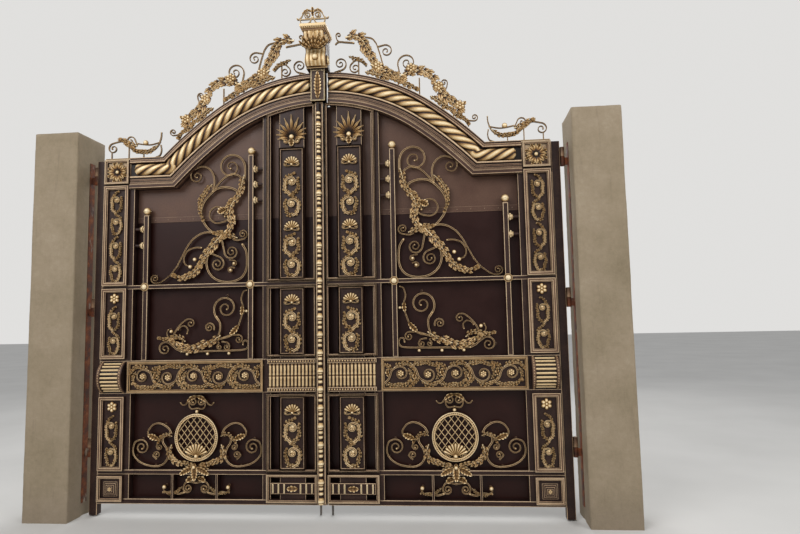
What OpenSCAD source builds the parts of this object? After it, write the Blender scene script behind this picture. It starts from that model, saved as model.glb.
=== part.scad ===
// Double leaf wrought iron driveway gate between two square pillars.
// Gate coordinates used by the modules: x from the meeting line, y from the front of the mouldings
// (positive to the rear), z from the underside of the leaves.

/* [Opening and pillars] */
// Clear width between the two pillars
opening_w = 3658; // [3300:2:4000]
// Side of the square pillars
pillar_w = 350; // [300:5:400]
// Height of the pillars
pillar_h = 2880; // [2800:10:3100]
// How far the pillars stand in front of the mouldings
reveal = 130; // [80:5:160]
// Underside of the leaves above the ground
ground_gap = 95; // [90:1:120]

/* [Hinges] */
// From the pillar face to the hinge axis
axis_to_pillar = 36; // [36:0.5:45]
// From the hinge axis to the side of the heel tube
axis_to_tube = 22; // [22:0.5:24]
// Radius of the hinge barrels
barrel_r = 17; // [14:0.5:17]
// Length of one hinge knuckle
knuckle_h = 70; // [50:1:90]
// Gap between the two knuckles of a hinge
knuckle_gap = 0.3; // [0.2:0.1:0.3]
// Radius of the hinge pins
pin_r = 8; // [6:0.5:9]
// Clearance of pins and bolts in their holes
run_clear = 0.1; // [0.05:0.05:0.1]

/* [Leaf] */
// Width of the square heel tube
heel_w = 62; // [50:1:70]
// Depth of the square heel tube
heel_d = 60; // [50:1:60]
// How far the heel tube runs below the leaf
heel_drop = 85; // [60:1:88]
// Height of the flat shoulder of the leaf
shoulder_h = 2600; // [2560:5:2640]
// Height of the crown of the arch
apex_h = 3200; // [3160:5:3240]
// Radius of the middle of the arch
arch_r1 = 1450; // [1420:5:1500]
// Radius of the flanks of the arch
arch_r2 = 3180; // [3000:10:3400]
// Depth of the recess from the mouldings to the backing sheet
recess = 86; // [80:1:86]
// Thickness of the backing sheet
sheet_t = 3; // [2:0.5:3]
// Depth of the raised frames in front of the tubes
frame_d = 24; // [16:1:30]
// Half width of the meeting stile that carries the beaded rod
meet_w = 30; // [26:1:34]
// Gap between the two leaves
seam_gap = 8; // [6:0.5:12]
// Half width of the block that carries the console
neck_w = 55; // [50:1:58]
// How far the block stands in front of the mouldings
neck_d = 52; // [40:1:56]

/* [Columns and rails] */
// Width of the outer column
outer_w = 216; // [200:1:230]
// Outer edge of the inner column from the meeting line
inner_w = 412; // [400:1:430]
// Height of the bottom rail
rail_h = 38; // [30:1:44]
// Underside of the lower rail
low_z = 212; // [206:1:220]
// Height of the lower rail
low_h = 34; // [28:1:40]
// Underside of the ornamented band
band_z = 800; // [790:1:810]
// Height of the ornamented band
band_h = 245; // [235:1:250]
// Underside of the middle rail
mid_z = 1583; // [1575:1:1590]
// Height of the middle rail
mid_h = 30; // [24:1:36]
// Width of the mouldings that follow the arch
arch_w = 240; // [230:1:245]

/* [Rope and rod] */
// Radius of the rope moulding
rope_r = 45; // [38:0.5:46]
// Distance of the rope from the outer edge of the arch
rope_d = 93; // [90:0.5:95]
// Length of the rope moulding taken by one strand
rope_pitch = 95; // [80:1:120]
// Number of strands round the rope
strands = 4; // [3:1:5]
// Radius of the beaded rod
rod_r = 21; // [16:0.5:22]
// Length of one group of beads
bead_pitch = 130; // [110:1:150]

/* [Scrollwork] */
// Thickness of the forged scroll bars
scroll_t = 14; // [10:0.5:18]
// Width of the forged scroll bars at the root
scroll_w = 15; // [12:0.5:18]
// Width of the forged scroll bars at the eye
scroll_eye = 7; // [5:0.5:9]
// Side of the tall square bars
bar_w = 38; // [32:1:40]
// Radius of the balls on the tall bars
ball_r = 28; // [24:0.5:30]
// Depth of the forged scrolls behind the front of the mouldings
scroll_y = 50; // [48:0.5:54]
// Thickness of the cast leaves
leaf_t = 14; // [10:0.5:18]

/* [Crown] */
// Height of the console on top of the arch
console_h = 283; // [260:1:300]
// How far the top of the console stands in front of the mouldings
console_d = 208; // [180:1:215]
// Half width of the console's top plate
console_w = 96; // [90:0.5:98]
// Half width of the console's foot
console_foot = 77; // [70:0.5:80]

/* [Drop bolts] */
// Radius of the drop bolts
bolt_r = 8; // [6:0.5:9]
// Length of the drop bolts
bolt_h = 420; // [380:5:460]

/* [Hidden] */
$fn = 48;

// derived places
half_open = opening_w / 2;
axis_x = half_open - axis_to_pillar;
leaf_x = axis_x - axis_to_tube;
stile_x = leaf_x - heel_w;
outer_x = stile_x - outer_w;
field_x0 = inner_w + 18;
field_x1 = outer_x - 7;
axis_y = recess + 6 - heel_d / 2;
tube_y0 = axis_y - heel_d / 2;
tube_y1 = axis_y + heel_d / 2;
gate_cx = half_open + pillar_w / 2;
gate_cy = reveal - pillar_w / 2;
a1 = 35.9;
zc1 = apex_h - arch_r1;
c2x = (arch_r1 - arch_r2) * sin(a1);
c2z = zc1 + (arch_r1 - arch_r2) * cos(a1);
ae = acos((shoulder_h - c2z) / arch_r2);
shoulder_x = c2x + arch_r2 * sin(ae);
band_z1 = band_z + band_h;
mid_z1 = mid_z + mid_h;
low_z1 = low_z + low_h;

function rev(v) = [for (i = [len(v) - 1 : -1 : 0]) v[i]];

// point of the arch at angle t, moved inwards by d
function arch_pt(t, d) = t <= a1
  ? [(arch_r1 - d) * sin(t), zc1 + (arch_r1 - d) * cos(t)]
  : [c2x + (arch_r2 - d) * sin(t), c2z + (arch_r2 - d) * cos(t)];
function arch_start(x, d) = asin(x / (arch_r1 - d));
function arch_line(x0, x1, d) = concat(
  [for (i = [0:24]) let (s = arch_start(x0, d)) arch_pt(s + (a1 - s) * i / 24, d)],
  [for (i = [1:8]) arch_pt(a1 + (ae - a1) * i / 8, d)],
  [[shoulder_x - d * tan(ae / 2), shoulder_h - d], [x1, shoulder_h - d]]);
module arch_band(x0, x1, d0, d1) {
  polygon(concat(arch_line(x0, x1, d0), rev(arch_line(x0, x1, d1))));
}

module place() {
  translate([gate_cx, gate_cy, ground_gap])
    children();
}
module side(s) {
  place()
    mirror([s < 0 ? 1 : 0, 0, 0])
      children();
}
module box(x0, x1, y0, y1, z0, z1) {
  translate([x0, y0, z0])
    cube([x1 - x0, y1 - y0, z1 - z0]);
}
module front(y0, y1) {
  translate([0, y1, 0])
    rotate([90, 0, 0])
      linear_extrude(y1 - y0)
        children();
}

module frame2d(x0, x1, z0, z1, w) {
  difference() {
    translate([x0, z0]) square([x1 - x0, z1 - z0]);
    translate([x0 + w, z0 + w]) square([x1 - x0 - 2 * w, z1 - z0 - 2 * w]);
  }
}

// a bar of changing width along a line of points
function heading(p, i) = let (a = p[max(i - 1, 0)], b = p[min(i + 1, len(p) - 1)]) (b - a) / norm(b - a);
function bar_side(p, w0, w1, k) = [for (i = [0:len(p) - 1])
  let (h = heading(p, i), w = (w0 + (w1 - w0) * i / (len(p) - 1)) / 2) p[i] + k * w * [-h[1], h[0]]];
module bar2d(p, w0, w1) {
  polygon(concat(bar_side(p, w0, w1, 1), rev(bar_side(p, w0, w1, -1))));
}
// smooth line through the given points
function cr(p0, p1, p2, p3, t) = 0.5 * (2 * p1 + (p2 - p0) * t + (2 * p0 - 5 * p1 + 4 * p2 - p3) * t * t
  + (3 * p1 - p0 - 3 * p2 + p3) * t * t * t);
function smooth(p, n) = concat([for (i = [0:len(p) - 2], k = [0:n - 1])
  cr(p[max(i - 1, 0)], p[i], p[i + 1], p[min(i + 2, len(p) - 1)], k / n)], [p[len(p) - 1]]);
/* pillars and hinges */
module pillar(s) {
  color("tan") side(s)
    difference() {
      box(half_open, half_open + pillar_w, -reveal, pillar_w - reveal, -ground_gap, pillar_h - ground_gap);
      box(half_open - 1, half_open + strip_t, axis_y - 30, axis_y + 30, 0, shoulder_h - 20);
    }
}
hinge_z = [400, 1450, 2480];
strip_t = 8;
seat = 0.2;
module hinge_strip(s) {
  color("sienna") side(s) {
    box(half_open, half_open + strip_t, axis_y - 30, axis_y + 30, 0, shoulder_h - 20);
    for (z = hinge_z) {
      translate([axis_x, axis_y, z - knuckle_h]) cylinder(knuckle_h, r = barrel_r);
      translate([axis_x, axis_y, z - knuckle_h]) cylinder(knuckle_h + 50, r = pin_r);
      box(axis_x, half_open, axis_y - 5, axis_y + 5, z - knuckle_h + 8, z - 8);
    }
  }
}
module heel_tube(s) {
  color("saddlebrown") side(s) {
    difference() {
      box(stile_x, leaf_x, tube_y0, tube_y1, -heel_drop, shoulder_h - 10);
      box(stile_x + 4, leaf_x - 4, tube_y0 + 4, tube_y1 - 4, -heel_drop - 1, shoulder_h - 20);
    }
    for (z = hinge_z)
      difference() {
        union() {
          translate([axis_x, axis_y, z + knuckle_gap]) cylinder(knuckle_h, r = barrel_r);
          box(leaf_x, axis_x, axis_y - 5, axis_y + 5, z + knuckle_gap + 8, z + knuckle_h - 8);
        }
        translate([axis_x, axis_y, z - 1]) cylinder(53, r = pin_r + run_clear);
      }
  }
}

/* leaf */
seam_z = 2100;
foot_bar_x = [783, 1120];
guide_z = [15, 260];
bolt_y = recess + 22;
guide_w = 32;
function bolt_x(s) = s < 0 ? 34 : meet_w + seam_gap + guide_w / 2;
function meet_x(s) = s < 0 ? -meet_w : meet_w + seam_gap;
function top_x(s) = s < 0 ? -meet_w : neck_w + seam_gap + 1;
neck_z = apex_h - arch_w - 4;
module leaf_body(s) {
  x0 = meet_x(s);
  color("maroon") side(s) {
    front(recess, recess + sheet_t)
      polygon(concat([[x0, 0], [x0, neck_z], [top_x(s), neck_z]], arch_line(top_x(s), stile_x, 10), [[stile_x, 0]]));
    box(field_x0 - 2, field_x1 + 2, recess - 3, recess + 1, seam_z, seam_z + 40);
    front(scroll_y + scroll_t + seat, recess + 6)
      for (x = foot_bar_x)
        translate([x, rail_h - 1]) square([15, low_z - rail_h + 2]);
    front(frame_d, recess + 6) {
      translate([x0, 0]) square([stile_x - x0, rail_h]);
      translate([x0, low_z]) square([stile_x - x0, low_h]);
      translate([x0, band_z]) square([stile_x - x0, band_h]);
      translate([x0, mid_z]) square([stile_x - x0, mid_h]);
      translate([x0, 0]) square([50 - x0, apex_h - arch_w]);
      translate([125, 0]) square([190, apex_h - arch_w]);
      translate([385, 0]) square([field_x0 - 385 + 15, apex_h - arch_w - 60]);
      translate([field_x1 - 15, 0]) square([stile_x - field_x1 + 15, shoulder_h - arch_w]);
      arch_band(top_x(s), stile_x, 0, arch_w);
    }
    for (z = guide_z)
      difference() {
        box(bolt_x(s) - guide_w / 2, bolt_x(s) + guide_w / 2, recess + 6, bolt_y + 16, z, z + 30);
        translate([bolt_x(s), bolt_y, z - 1]) cylinder(32, r = bolt_r + run_clear);
      }
  }
}
// frame with a flat border and a stepped inner border
module framed(x0, x1, z0, z1, w) {
  front(0, frame_d) frame2d(x0, x1, z0, z1, w);
  front(9, frame_d) frame2d(x0 + w - 1, x1 - w + 1, z0 + w - 1, z1 - w + 1, 8);
}
module outer_column(s) {
  x0 = outer_x + 8;
  x1 = stile_x - 12;
  color("maroon") side(s) {
    framed(x0, x1, 20, 205, 16);
    framed(x0, x1, 240, 780, 22);
    framed(x0, x1, band_z + band_h + 15, 1590, 22);
    framed(x0, x1, 1612, 2385, 22);
    front(0, frame_d) frame2d(x0, x1, 2400, 2590, 14);
  }
}

/* leaves and vines */
// shapes drawn in x and z, $deep thick, with their backs at depth y1
module layer(y0, y1) {
  $deep = y1 - y0;
  translate([0, y1, 0]) rotate([90, 0, 0]) children();
}
module scroll_layer() {
  layer(scroll_y, scroll_y + scroll_t) children();
}
module leaf_layer() {
  layer(scroll_y - leaf_t + 2, scroll_y + 2) children();
}
module relief_layer() {
  layer(frame_d - 14, frame_d) children();
}
module disc(p, r) {
  translate([p[0], p[1], 0]) cylinder($deep, r = r, $fn = 32);
}
function aim(a) = [cos(a), sin(a)];
// points p turned by a about the origin and moved to c
function turned_to(p, a, c) = [for (q = p) c + q[0] * aim(a) + q[1] * aim(a + 90)];
// arcs of a volute: centre, radius and start angle of each, every one tangent to the next
function volute(c, r0, r1, a, turn, n) = [for (i = 0, q = c; i < n;
  i = i + 1, q = q + (r0 - r1) / max(n - 1, 1) * aim(a + turn * i / n))
    [q, r0 + (r1 - r0) * i / max(n - 1, 1), a + turn * i / n]];
// bar w wide that runs along the circle of radius r about c, from angle a through t
module bend(c, r, w, a, t) {
  reach = 1.4 * (r + w / 2);
  translate([c[0], c[1], 0])
    linear_extrude($deep) intersection() {
      difference() {
        circle(r + w / 2, $fn = 64);
        circle(r - w / 2, $fn = 64);
      }
      polygon([[0, 0], reach * aim(a), reach * aim(a + t / 2), reach * aim(a + t)]);
    }
}
// curl that starts at angle a on radius r0 about c and closes in to radius r1
module curl(c, r0, r1, a, turn, w0, w1) {
  n = ceil(abs(turn) / 100);
  v = volute(c, r0, r1, a, turn, n);
  for (i = [0:n - 1])
    let (w = w0 + (w1 - w0) * i / max(n - 1, 1)) {
      bend(v[i][0], v[i][1], w, v[i][2], turn / n);
      disc(v[i][0] + v[i][1] * aim(v[i][2]), w / 2 + 0.6);
    }
  e = v[n - 1];
  disc(e[0] + e[1] * aim(a + turn), w1 * 0.95);
}
module stem(p, w0, w1) {
  linear_extrude($deep) bar2d(smooth(p, 2), w0, w1);
  disc(p[0], w0 / 2 + 1.5);
  disc(p[len(p) - 1], w1 / 2 + 1.5);
}
// angle at which a line from p touches the circle of radius r about c, for a curl that turns that way
function touch(p, c, r, turn) = atan2(p[1] - c[1], p[0] - c[0]) + sign(turn) * acos(min(r / norm(p - c), 1));
// stem through the points t that runs smoothly into a curl about c
module vine(t, c, r0, r1, turn, w0 = scroll_w, w1 = scroll_eye) {
  p = t[len(t) - 1];
  a = touch(p, c, r0, turn);
  e = c + r0 * aim(a);
  stem(concat(t, [e + (p - e) / norm(p - e)]), w0, w0);
  curl(c, r0, r1, a, turn, w0, w1);
}
function lobe(t, w, n) = w * sqrt(sin(180 * min(max(t, 0.05), 0.95))) * (0.7 + 0.3 * abs(sin(180 * n * t)));
function leaf_side(q, w, n, k) = [for (i = [0:len(q) - 1])
  let (h = heading(q, i)) q[i] + k * lobe(i / (len(q) - 1), w, n) * [-h[1], h[0]]];
// leaf with n lobes on each side of the rib p
module leaf(p, w, n) {
  q = smooth(p, ceil(2 * n / (len(p) - 1)));
  linear_extrude($deep) polygon(concat(leaf_side(q, w, n, 1), rev(leaf_side(q, w, n, -1))));
}
module berry(x, z, r, y = scroll_y + 3) {
  translate([x, y, z]) sphere(r, $fn = 32);
}
// flower of n round petals
module flower(x, z, r, n) {
  relief_layer() {
    disc([x, z], r * 0.62);
    for (i = [0:n - 1])
      disc([x, z] + r * 0.64 * aim(360 * i / n + 90), r * 0.36);
  }
  berry(x, z, r * 0.26, frame_d - max(14, r * 0.26 + 0.3));
}
// shell of n ribs that fan upwards from its foot
module shell(x, z, r, n, y0 = frame_d - 14) {
  layer(y0, y0 + 14)
    for (i = [0:n - 1])
      linear_extrude($deep)
        polygon(turned_to([[-r * 0.12, 0], [-r * 0.21, r * 1.2], [0, r * 1.42], [r * 0.21, r * 1.2], [r * 0.12, 0]],
          -65 + 130 * i / (n - 1), [x, z - r * 0.5]));
  berry(x, z - r * 0.5, r * 0.27, y0 + 2);
}
// climbing relief of two curls and the leaves between them, w wide on each side
module climber(x, z0, h, w) {
  relief_layer() {
    vine([[x + w * 0.3, z0 + h * 0.44], [x - w * 0.45, z0 + h * 0.36]], [x, z0 + w * 0.95], w * 0.84, w * 0.22, 430, w * 0.26, w * 0.2);
    vine([[x - w * 0.3, z0 + h * 0.86], [x + w * 0.5, z0 + h * 0.76]], [x, z0 + h * 0.56], w * 0.8, w * 0.22, -430, w * 0.26, w * 0.2);
    leaf([[x - w * 0.85, z0 + h * 0.97], [x - w * 0.3, z0 + h * 0.88], [x + w * 0.3, z0 + h * 0.8]], w * 0.22, 3);
    leaf([[x + w * 0.85, z0 + h * 0.97], [x + w * 0.5, z0 + h * 0.84], [x + w * 0.1, z0 + h * 0.7]], w * 0.22, 3);
  }
}
module outer_ornament(s) {
  xm = (outer_x + stile_x) / 2 - 2;
  color("gold") side(s) {
    for (q = [[272, 360], [1105, 340], [1645, 350], [2000, 345]])
      climber(xm, q[0], q[1], 46);
    flower(xm, 702, 38, 6);
    flower(xm, 1512, 38, 6);
    flower(xm, 2495, 72, 8);
    for (i = [0:3])
      front(frame_d - 4 - 4 * i, frame_d) translate([xm - 54 + 11 * i, 54 + 11 * i]) square([108 - 22 * i, 106 - 22 * i]);
  }
}
module drum(s) {
  x0 = outer_x + 8;
  x1 = stile_x - 12;
  h = band_h - 12;
  b = 70;
  r = (h * h / 4 + b * b) / (2 * b);
  zc = band_z + band_h / 2;
  color("maroon") side(s) {
    intersection() {
      translate([x0 + 25, r - b + frame_d, zc]) rotate([0, 90, 0]) cylinder(x1 - x0 - 50, r = r - 12, $fn = 96);
      box(x0, x1, -b, frame_d, band_z, band_z1);
    }
    for (x = [x0, x1 - 30])
      intersection() {
        translate([x, r - b + frame_d, zc]) rotate([0, 90, 0]) cylinder(30, r = r, $fn = 96);
        box(x0, x1, -b, frame_d, band_z, band_z1);
      }
    for (i = [-3.5:3.5])
      let (a = i * 14.5)
        translate([x0 + 29, r - b + frame_d - (r - 10) * cos(a), zc + (r - 10) * sin(a)])
          rotate([0, 90, 0]) cylinder(x1 - x0 - 58, r = 7, $fn = 24);
  }
}

/* arch */
function rope_path(x0, x1) = concat(
  [for (i = [0:42]) let (q = arch_start(x0, rope_d)) arch_pt(q + (a1 - q) * i / 42, rope_d)],
  [for (i = [1:16]) arch_pt(a1 + (ae - 0.5 - a1) * i / 16, rope_d)],
  [for (i = [0:10]) let (c = shoulder_x - rope_d * tan(ae / 2) + 7) [c + (x1 - c) * i / 10, shoulder_h - rope_d]]);
function path_len(p) = [for (i = 0, l = 0; i < len(p); i = i + 1, l = l + (i < len(p) ? norm(p[i] - p[i - 1]) : 0)) l];
module rope(s) {
  p = rope_path(top_x(1), outer_x - 40);
  lens = path_len(p);
  m = 7;
  pts = [for (i = [0:len(p) - 1], j = [0:m])
    let (h = heading(p, i), a = 180 * j / m,
      rr = rope_r * (0.9 + 0.1 * cos(360 * lens[i] / rope_pitch + s * strands * a)))
      [p[i][0] - h[1] * rr * cos(a), frame_d - rr * sin(a) * 0.9, p[i][1] + h[0] * rr * cos(a)]];
  faces = concat(
    [for (i = [0:len(p) - 2], j = [0:m - 1]) let (q = i * (m + 1) + j) [q, q + 1, q + m + 2]],
    [for (i = [0:len(p) - 2], j = [0:m - 1]) let (q = i * (m + 1) + j) [q, q + m + 2, q + m + 1]],
    [for (i = [0:len(p) - 2]) [i * (m + 1), (i + 1) * (m + 1), i * (m + 1) + m]],
    [for (i = [0:len(p) - 2]) [(i + 1) * (m + 1), (i + 1) * (m + 1) + m, i * (m + 1) + m]],
    [[for (j = [m:-1:0]) j]],
    [[for (j = [0:m]) (len(p) - 1) * (m + 1) + j]]);
  color("gold") side(s)
    polyhedron(pts, [for (f = faces) rev(f)]);
}
module arch_moulding(s) {
  x0 = s < 0 ? neck_w : top_x(1);
  color("maroon") side(s) {
    front(4, frame_d) arch_band(x0, outer_x, 0, 45);
    front(8, frame_d) arch_band(x0, outer_x, 142, 160);
    front(14, frame_d) arch_band(x0, outer_x, 168, 182);
    front(10, frame_d) arch_band(x0, outer_x, 190, 202);
    front(0, frame_d) arch_band(x0, outer_x, 208, arch_w);
  }
}
module inner_column(s) {
  x0 = meet_w + seam_gap;
  color("maroon") side(s)
    front(0, frame_d) intersection() {
      polygon(concat([[x0, 0]], arch_line(x0, stile_x, arch_w + seat), [[stile_x, 0]]));
      union() {
      frame2d(x0, inner_w, 20, 218, 12);
      frame2d(x0, inner_w, 236, 788, 10);
      frame2d(125, 315, 250, 772, 10);
      frame2d(x0, inner_w, 1058, 1580, 10);
      frame2d(125, 315, 1072, 1568, 10);
      frame2d(x0, inner_w, 1616, 2930, 10);
      frame2d(125, 315, 1630, 2625, 10);
      }
    }
}
module inner_ornament(s) {
  xm = 220;
  color("gold") side(s) {
    for (q = [[272, 348], [1100, 312], [1650, 318], [2108, 321]])
      climber(xm, q[0], q[1], 64);
    for (z = [680, 1482, 2032, 2524])
      shell(xm, z, 44, 7);
    relief_layer() {
      for (i = [-4:4])
        linear_extrude($deep)
          polygon(turned_to([[-5, 0], [-12, 88], [-7, 138 - 5 * abs(i)], [0, 163 - 6 * abs(i)], [7, 138 - 5 * abs(i)],
            [12, 88], [5, 0]], i * 21, [xm, 2712]));
      leaf([[xm, 2704], [xm, 2672], [xm, 2640]], 24, 2);
    }
    berry(xm, 2712, 13, frame_d - 13.5);
    front(10, frame_d) translate([xm - 165, 80]) square([330, 78]);
    for (x = [xm - 150, xm - 105, xm - 60, xm + 48, xm + 93, xm + 138])
      front(4, 11) translate([x, 84]) square([12, 70]);
    layer(2, 11) leaf([[xm - 42, 119], [xm, 119], [xm + 42, 119]], 22, 2);
  }
}
module grille(s) {
  color("gold") side(s) {
    front(4, frame_d) {
      translate([44, band_z + 5]) square([360, 30]);
      translate([44, band_z1 - 35]) square([360, 30]);
    }
    intersection() {
      for (i = [0:12])
        translate([58 + i * 27.3, frame_d - 3, band_z + 34]) cylinder(band_h - 68, r = 9, $fn = 24);
      box(44, 404, 0, frame_d, band_z, band_z1);
    }
  }
}
module band(s) {
  x0 = field_x0 + 30;
  n = 5;
  p = (field_x1 - field_x0 - 60) / n;
  zc = band_z + 128;
  color("gold") side(s) {
    front(2, frame_d) frame2d(field_x0 + 8, field_x1 - 6, band_z + 8, band_z1 - 8, 12);
    front(12, frame_d) frame2d(field_x0 + 19, field_x1 - 17, band_z + 19, band_z1 - 19, 10);
    relief_layer() {
      for (i = [0:n - 1])
        let (x = x0 + p * i, u = i % 2 == 0 ? 1 : -1) {
          vine([[x + 5, zc + 30 * u], [x + 50, zc + 46 * u]], [x + 112, zc], 50, 14, -470 * u, 15, 9);
          leaf([[x + 12, zc - 48 * u], [x + 36, zc - 22 * u], [x + 52, zc + 16 * u]], 17, 3);
          leaf([[x + 176, zc + 50 * u], [x + 180, zc + 10 * u], [x + 172, zc - 40 * u]], 13, 3);
        }
    }
  }
}
// solid turned about its own axis from points of radius and height
module turned(p) {
  rotate_extrude($fn = 48) polygon(concat([[0, p[0][1]]], p, [[0, p[len(p) - 1][1]]]));
}
module tall_bar(x, z1, arms, xa) {
  yb = 30 + bar_w / 2;
  box(x - bar_w / 2, x + bar_w / 2, 30, 30 + bar_w, band_z1, mid_z);
  box(x - bar_w / 2, x + bar_w / 2, 30, 30 + bar_w, mid_z1, z1);
  translate([x, yb, z1]) cylinder(8, r = bar_w / 2 - 4, $fn = 32);
  translate([x, yb, z1 + 6 + ball_r]) sphere(ball_r);
  dir = xa > x ? 1 : -1;
  for (z = arms) {
    translate([x, yb, z]) rotate([0, dir * 90, 0]) cylinder(abs(xa - x), r = 13, $fn = 32);
    translate([x, yb, z]) rotate([0, dir * 90, 0]) turned([[18, 0], [18, 21], [25, 25], [27, 31], [25, 37], [19, 41], [19, 46], [16, 48]]);
  }
  translate([x, frame_d, mid_z + mid_h / 2]) rotate([90, 0, 0])
    turned([[31, 0], [31, 7], [22, 8], [20, 14], [14, 20], [6, 23]]);
}
module bars(s) {
  color("maroon") side(s) {
    tall_bar(541, 2590, [2480, 2362, 2240], field_x0 + 15);
    tall_bar(1366, 2150, [2045, 1918], field_x1 - 15);
  }
}
// studs that carry the scrolls on the backing sheet
module studs(pts) {
  for (q = pts)
    translate([q[0], recess, q[1]])
      rotate([90, 0, 0]) cylinder(recess - scroll_y - scroll_t + 3, r = 5, $fn = 24);
}
module upper_scroll(s) {
  color("gold") side(s) {
    scroll_layer() {
      stem([[613, 1905], [584, 1855], [576, 1790], [580, 1720], [612, 1660], [665, 1630], [735, 1622], [810, 1640], [868, 1690], [893, 1765], [880, 1850]], scroll_w, scroll_w);
      vine([[775, 1950]], [698, 1851], 55, 11, -600, 13, 7);
      vine([[900, 1860]], [808, 1761], 56, 11, 600, 13, 7);
      vine([[716, 1790]], [678, 1762], 22, 7, 400, 9, 7);
      vine([[672, 1728]], [704, 1712], 22, 6, -450, 9, 6);
      vine([[690, 1950], [655, 1938]], [610, 1984], 38, 8, -560, 11, 7);
      curl([810, 2140], 66, 64, 232, -300, 11, 10);
      stem([[636, 2290], [665, 2325], [708, 2345], [760, 2352], [817, 2340], [868, 2300], [915, 2245], [938, 2180], [930, 2110], [895, 2050], [850, 2005]], scroll_w, scroll_w);
      vine([[620, 2380], [596, 2420]], [706, 2508], 112, 12, -620);
      stem([[610, 2400], [645, 2438], [700, 2452], [762, 2420], [815, 2365], [850, 2322]], 12, 12);
      vine([[852, 2330], [836, 2390], [848, 2460], [888, 2508], [936, 2512]], [961, 2431], 58, 9, -520, 14, 7);
      vine([[846, 2004], [901, 2006], [952, 1990], [1003, 1955], [1048, 1897], [1092, 1815], [1131, 1744], [1175, 1690], [1225, 1650], [1262, 1630]], [1300, 1662], 36, 8, 560, 14, 6);
      stem([[935, 1890], [990, 1890], [1042, 1868], [1072, 1815], [1060, 1765], [1015, 1745]], 11, 9);
      disc([1020, 1745], 14);
      disc([985, 1800], 14);
    }
    leaf_layer() {
      leaf([[598, 2440], [615, 2380], [628, 2320], [650, 2275], [702, 2240]], 34, 7);
      leaf([[640, 2270], [690, 2225], [712, 2160], [700, 2090], [705, 2030], [740, 1990]], 46, 9);
      leaf([[850, 2378], [898, 2330], [935, 2265], [948, 2200], [930, 2120]], 26, 8);
      leaf([[735, 2185], [775, 2170], [800, 2150]], 24, 4);
      leaf([[650, 1955], [700, 1975], [755, 1990], [820, 2000]], 30, 5);
      leaf([[740, 2015], [790, 1965], [840, 1910], [885, 1850], [930, 1785]], 48, 9);
      leaf([[905, 1800], [950, 1740], [1005, 1690], [1070, 1660], [1135, 1680]], 38, 8);
    }
    berry(678, 1762, 12);
    berry(704, 1712, 12);
    studs([[613, 1905], [735, 1622], [868, 1690], [708, 2345], [938, 2180], [1020, 1745], [985, 1800], [1131, 1744], [665, 2325], [700, 2452], [848, 2460], [678, 1762], [704, 1712]]);
  }
}
module middle_scroll(s) {
  color("gold") side(s) {
    scroll_layer() {
      vine([[790, 1330], [808, 1352]], [740, 1425], 96, 12, 620);
      stem([[812, 1362], [785, 1318], [783, 1262], [800, 1205], [815, 1180]], 14, 11);
      vine([[830, 1262]], [866, 1282], 38, 8, -540, 12, 7);
      stem([[580, 1556], [602, 1548], [614, 1520], [620, 1487], [608, 1440], [608, 1395], [622, 1345], [642, 1290], [672, 1240], [720, 1210], [766, 1200], [800, 1190]], 8, 13);
      vine([[780, 1195], [735, 1212], [690, 1222]], [640, 1190], 34, 7, 480, 12, 7);
      stem([[612, 1150], [603, 1177], [581, 1175], [571, 1150], [582, 1122], [612, 1112], [700, 1108], [900, 1106], [1080, 1106]], 11, 13);
      vine([[770, 1175], [728, 1168]], [733, 1136], 26, 7, 430, 11, 7);
      vine([[800, 1175], [790, 1166]], [787, 1136], 21, 7, -400, 9, 7);
      vine([[1080, 1106], [1120, 1125], [1150, 1150]], [1212, 1128], 54, 9, -560, 14, 7);
      vine([[1150, 1215], [1128, 1262], [1088, 1312], [1045, 1345]], [1014, 1316], 33, 8, 420, 12, 7);
      stem([[1040, 1240], [1034, 1270], [1056, 1296], [1088, 1292], [1110, 1268]], 9, 8);
      stem([[1155, 1215], [1185, 1215], [1198, 1245], [1186, 1272]], 9, 8);
    }
    leaf_layer() {
      leaf([[640, 1296], [664, 1262], [702, 1226]], 17, 4);
      leaf([[612, 1444], [608, 1410], [615, 1370]], 15, 3);
      leaf([[776, 1222], [810, 1200], [850, 1172], [900, 1150]], 34, 5);
      leaf([[850, 1186], [920, 1150], [1000, 1130], [1080, 1140], [1140, 1180]], 44, 9);
      leaf([[1050, 1180], [1090, 1212], [1130, 1218], [1180, 1200], [1245, 1210]], 26, 6);
    }
    berry(712, 1093, 12);
    berry(877, 1091, 12);
    berry(1035, 1091, 12);
    berry(577, 1400, 11);
    berry(1170, 1267, 14);
    studs([[740, 1521], [812, 1362], [608, 1395], [700, 1108], [900, 1106], [1080, 1106], [1000, 1106], [1266, 1128], [830, 1262], [1186, 1272], [1110, 1268]]);
    box(572, 612, scroll_y + 2, scroll_y + 10, 1396, 1404);
  }
}
function oval(a, b, n) = [for (i = [0:n - 1]) [a * cos(360 * i / n), b * sin(360 * i / n)]];
medal = [955, 474];
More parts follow.
